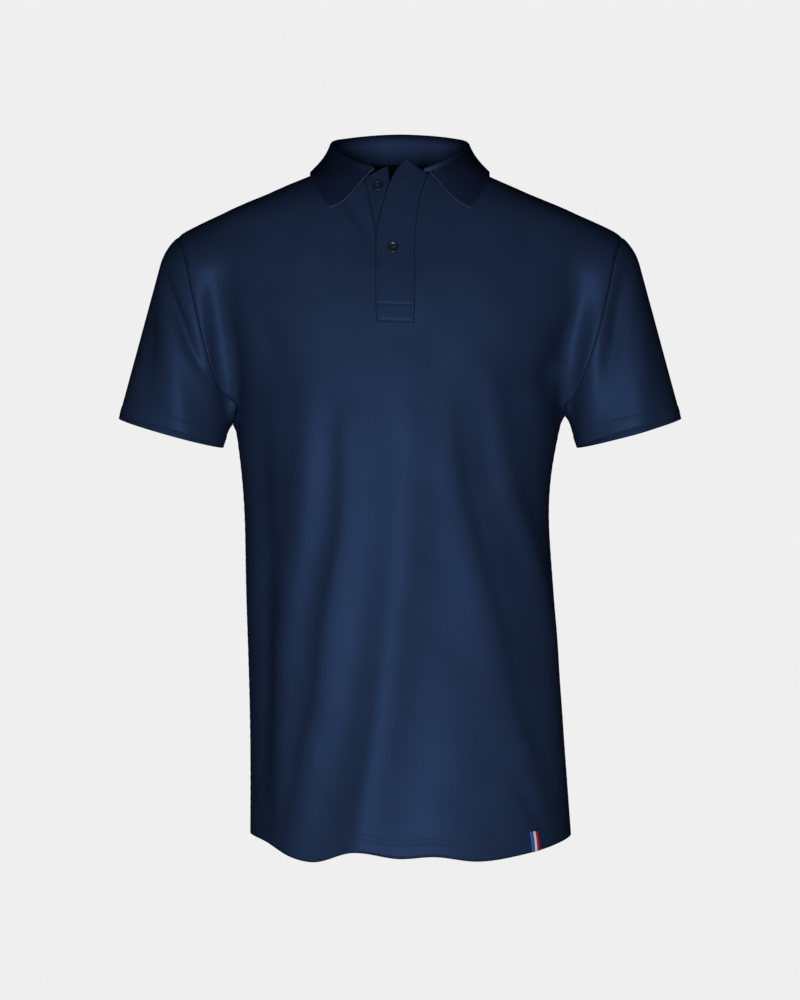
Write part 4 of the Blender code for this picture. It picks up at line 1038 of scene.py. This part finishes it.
for name, (strip, x, drop) in BUTTONS.items():
    grid, outward = strips[strip]
    near = np.unravel_index(np.argmin(np.hypot(grid[..., 0] - x, grid[..., 2] + drop)), grid.shape[:2])
    normal = outward[near]
    right = unit(np.cross((0.0, 0.0, 1.0), normal)) * -1
    up = np.cross(normal, right)
    up *= np.sign(up[2])
    centre = grid[near] + normal * (PLACKET_CLOTH / 2 + BUTTON_SEAT)
    disc = surface(name + "_polyester", button_points(centre, right, up, normal), polyester, (True, False))
    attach(disc, "root")
    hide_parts(name)
    top = centre + normal * FACE_LEVEL * BUTTON_THICK
    t = np.linspace(-1, 1, 24)[:, None]
    for k, (a, b) in enumerate((((1, 1), (-1, -1)), ((-1, 1), (1, -1)))):
        path = (top + HOLE_OUT * t * (a[0] * right + a[1] * up)
                + normal * (0.0005 - 0.0012 * t ** 6 + 0.0003 * k * (1 - t ** 2)))
        stitch = surface(f"{name}_thread_{k}", tube(path, 0.00032), thread, (True, False))
        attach(stitch, "root")

# The upper buttonhole: a long loop of thread laid on the top strip
HOLE_X, HOLE_DROP, HOLE_HALF_LENGTH, HOLE_HALF_WIDTH = 0.0088, 0.0247, 0.0060, 0.0008
grid, outward = strips["placket_top"]
near = np.unravel_index(np.argmin(np.hypot(grid[..., 0] - HOLE_X, grid[..., 2] + HOLE_DROP)), grid.shape[:2])
down = unit(grid[near[0], near[1] + 1] - grid[near[0], near[1] - 1])
turn = np.linspace(0, 2 * math.pi, 61)[:, None]
loop = (grid[near] + HOLE_HALF_LENGTH * np.cos(turn) * down
        + HOLE_HALF_WIDTH * np.sign(np.sin(turn)) * np.abs(np.sin(turn)) ** 0.4
        * unit(np.cross(down, outward[near])))
spots = np.argmin(np.linalg.norm(grid.reshape(1, -1, 3) - loop[:, None], axis=-1), axis=1)
under, facing = grid.reshape(-1, 3)[spots], outward.reshape(-1, 3)[spots]
loop += (JERSEY / 2 + 0.0002 - np.sum((loop - under) * facing, -1, keepdims=True)) * facing
buttonhole = surface("buttonhole_thread", tube(loop, 0.0004), thread, (True, False))
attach(buttonhole, "root")

# ================================================================ hem tab
# A woven ribbon folded in two and caught in the front hem on the wearer's left, with three even
# stripes down its length: blue, white and red.

TAB_X, TAB_WIDTH, TAB_LENGTH, TAB_LEAN = 0.1395, 0.0085, 0.0205, 0.0028
TAB_CLOTH, WEFT_PITCH = 0.0008, 0.0006
TAB_BLUE, TAB_WHITE, TAB_RED = "#2A5BA8", "#E6E8EC", "#B81F35"

ribbon, tree, shader = new_material("woven_tricolour_ribbon")
uv = node(tree, "ShaderNodeUVMap", {"uv_map": "UVMap"})
split = node(tree, "ShaderNodeSeparateXYZ", {}, {"Vector": uv.outputs["UV"]})
past_blue = node(tree, "ShaderNodeMath", {"operation": "GREATER_THAN"},
                 {0: split.outputs["X"], 1: -TAB_WIDTH / 6})
past_white = node(tree, "ShaderNodeMath", {"operation": "GREATER_THAN"},
                  {0: split.outputs["X"], 1: TAB_WIDTH / 6})
two = node(tree, "ShaderNodeMix", {"data_type": "RGBA"},
           {"Factor": past_blue.outputs["Value"], "A": linear(TAB_BLUE), "B": linear(TAB_WHITE)})
three = node(tree, "ShaderNodeMix", {"data_type": "RGBA"},
             {"Factor": past_white.outputs["Value"], "A": two.outputs["Result"], "B": linear(TAB_RED)})
tree.links.new(three.outputs["Result"], shader.inputs["Base Color"])
weft = node(tree, "ShaderNodeMath", {"operation": "MULTIPLY"},
            {0: split.outputs["Y"], 1: 2 * math.pi / WEFT_PITCH})
weft = node(tree, "ShaderNodeMath", {"operation": "SINE"}, {0: weft.outputs["Value"]})
raised = node(tree, "ShaderNodeBump", {},
              {"Strength": 0.4, "Distance": 0.0001, "Height": weft.outputs["Value"]})
tree.links.new(raised.outputs["Normal"], shader.inputs["Normal"])
shader.inputs["Roughness"].default_value = 0.6

u, v = np.meshgrid(np.linspace(-0.5, 0.5, 13), np.linspace(0, 1, 27), indexing="ij")
low = float(hem_drop(-1, TAB_X))
on = front_or_back(TAB_X + u * TAB_WIDTH - TAB_LEAN * v, low - 0.0008 - v * TAB_LENGTH, -1)
outward = form_normal(on)
lift = JERSEY / 2 + TAB_CLOTH / 2 + 0.0004 + 0.0004 * np.sin(math.pi * v) ** 2
grid = on + (fold_height(on) + rumple(on) + lift)[..., None] * outward
tab = cloth("hem_tab_ribbon", grid, outward, TAB_CLOTH, ribbon)
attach(tab, "root")
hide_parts("hem_tab")

# ================================================================ studio
# A pale floor well below the hem, a pale surround, and a soft box in front, a little low, so that
# the cloth is brightest where it faces forward and falls into shade. A weaker one lights the back.

FLOOR_LEVEL = -1.75
CAMERA_FAR, CAMERA_LEVEL = 3.0, -0.358
FRAME_HIGH = 1.066       # height of the picture at the origin's distance
SENSOR = 36.0            # height of the camera's sensor, in millimetres


def area_light(name, place, target, size, power):
    """A rectangular light at a place, turned to face its target."""
    data = bpy.data.lights.new(name, "AREA")
    data.shape = "RECTANGLE"
    data.size, data.size_y = size
    data.energy = power
    light = placed(name, data)
    light.location = place
    light.rotation_euler = (Vector(target) - Vector(place)).to_track_quat("-Z", "Y").to_euler()
    return light


area_light("soft_box", (-0.16, -3.1, -0.86), (0.0, 0.0, -0.50), (0.9, 1.1), 73.0)
behind = area_light("back_soft_box", (0.20, 3.1, -0.20), (0.0, 0.0, -0.40), (1.2, 1.2), 60.0)
behind.visible_glossy = False

floor_mesh = bpy.data.meshes.new("studio_floor")
floor_mesh.from_pydata([(x, y, FLOOR_LEVEL) for x, y in ((-2.5, -2.5), (2.5, -2.5), (2.5, 1.0), (-2.5, 1.0))],
                       [], [(0, 1, 2, 3)])
floor_material, tree, shader = new_material("matt_pale_floor")
shader.inputs["Base Color"].default_value = linear("#EFEFEF")
shader.inputs["Roughness"].default_value = 0.95
shader.inputs["Emission Color"].default_value = linear("#EFEFEF")
shader.inputs["Emission Strength"].default_value = 0.55
floor_mesh.materials.append(floor_material)
floor = placed("studio_floor", floor_mesh)
floor.visible_diffuse = False
floor.visible_glossy = False

world = bpy.data.worlds.new("pale_surround")
bpy.context.scene.world = world
world.use_nodes = True
tree = world.node_tree
seen = tree.nodes["Background"]
seen.inputs["Color"].default_value = linear("#EFEFEF")
dim = node(tree, "ShaderNodeBackground", {}, {"Color": linear("#FFFFFF"), "Strength": 0.012})
path = node(tree, "ShaderNodeLightPath")
both = node(tree, "ShaderNodeMixShader", {}, {0: path.outputs["Is Camera Ray"], 1: dim.outputs["Background"],
                                              2: seen.outputs["Background"]})
tree.links.new(both.outputs["Shader"], tree.nodes["World Output"].inputs["Surface"])

camera_data = bpy.data.cameras.new("camera")
camera_data.sensor_fit = "VERTICAL"
camera_data.sensor_height = SENSOR
camera_data.lens = SENSOR * CAMERA_FAR / FRAME_HIGH
camera = placed("camera", camera_data)
camera.location = (0.0, -CAMERA_FAR, CAMERA_LEVEL)
camera.rotation_euler = (math.pi / 2, 0.0, 0.0)
bpy.context.scene.camera = camera
bpy.context.scene.view_settings.view_transform = "Standard"
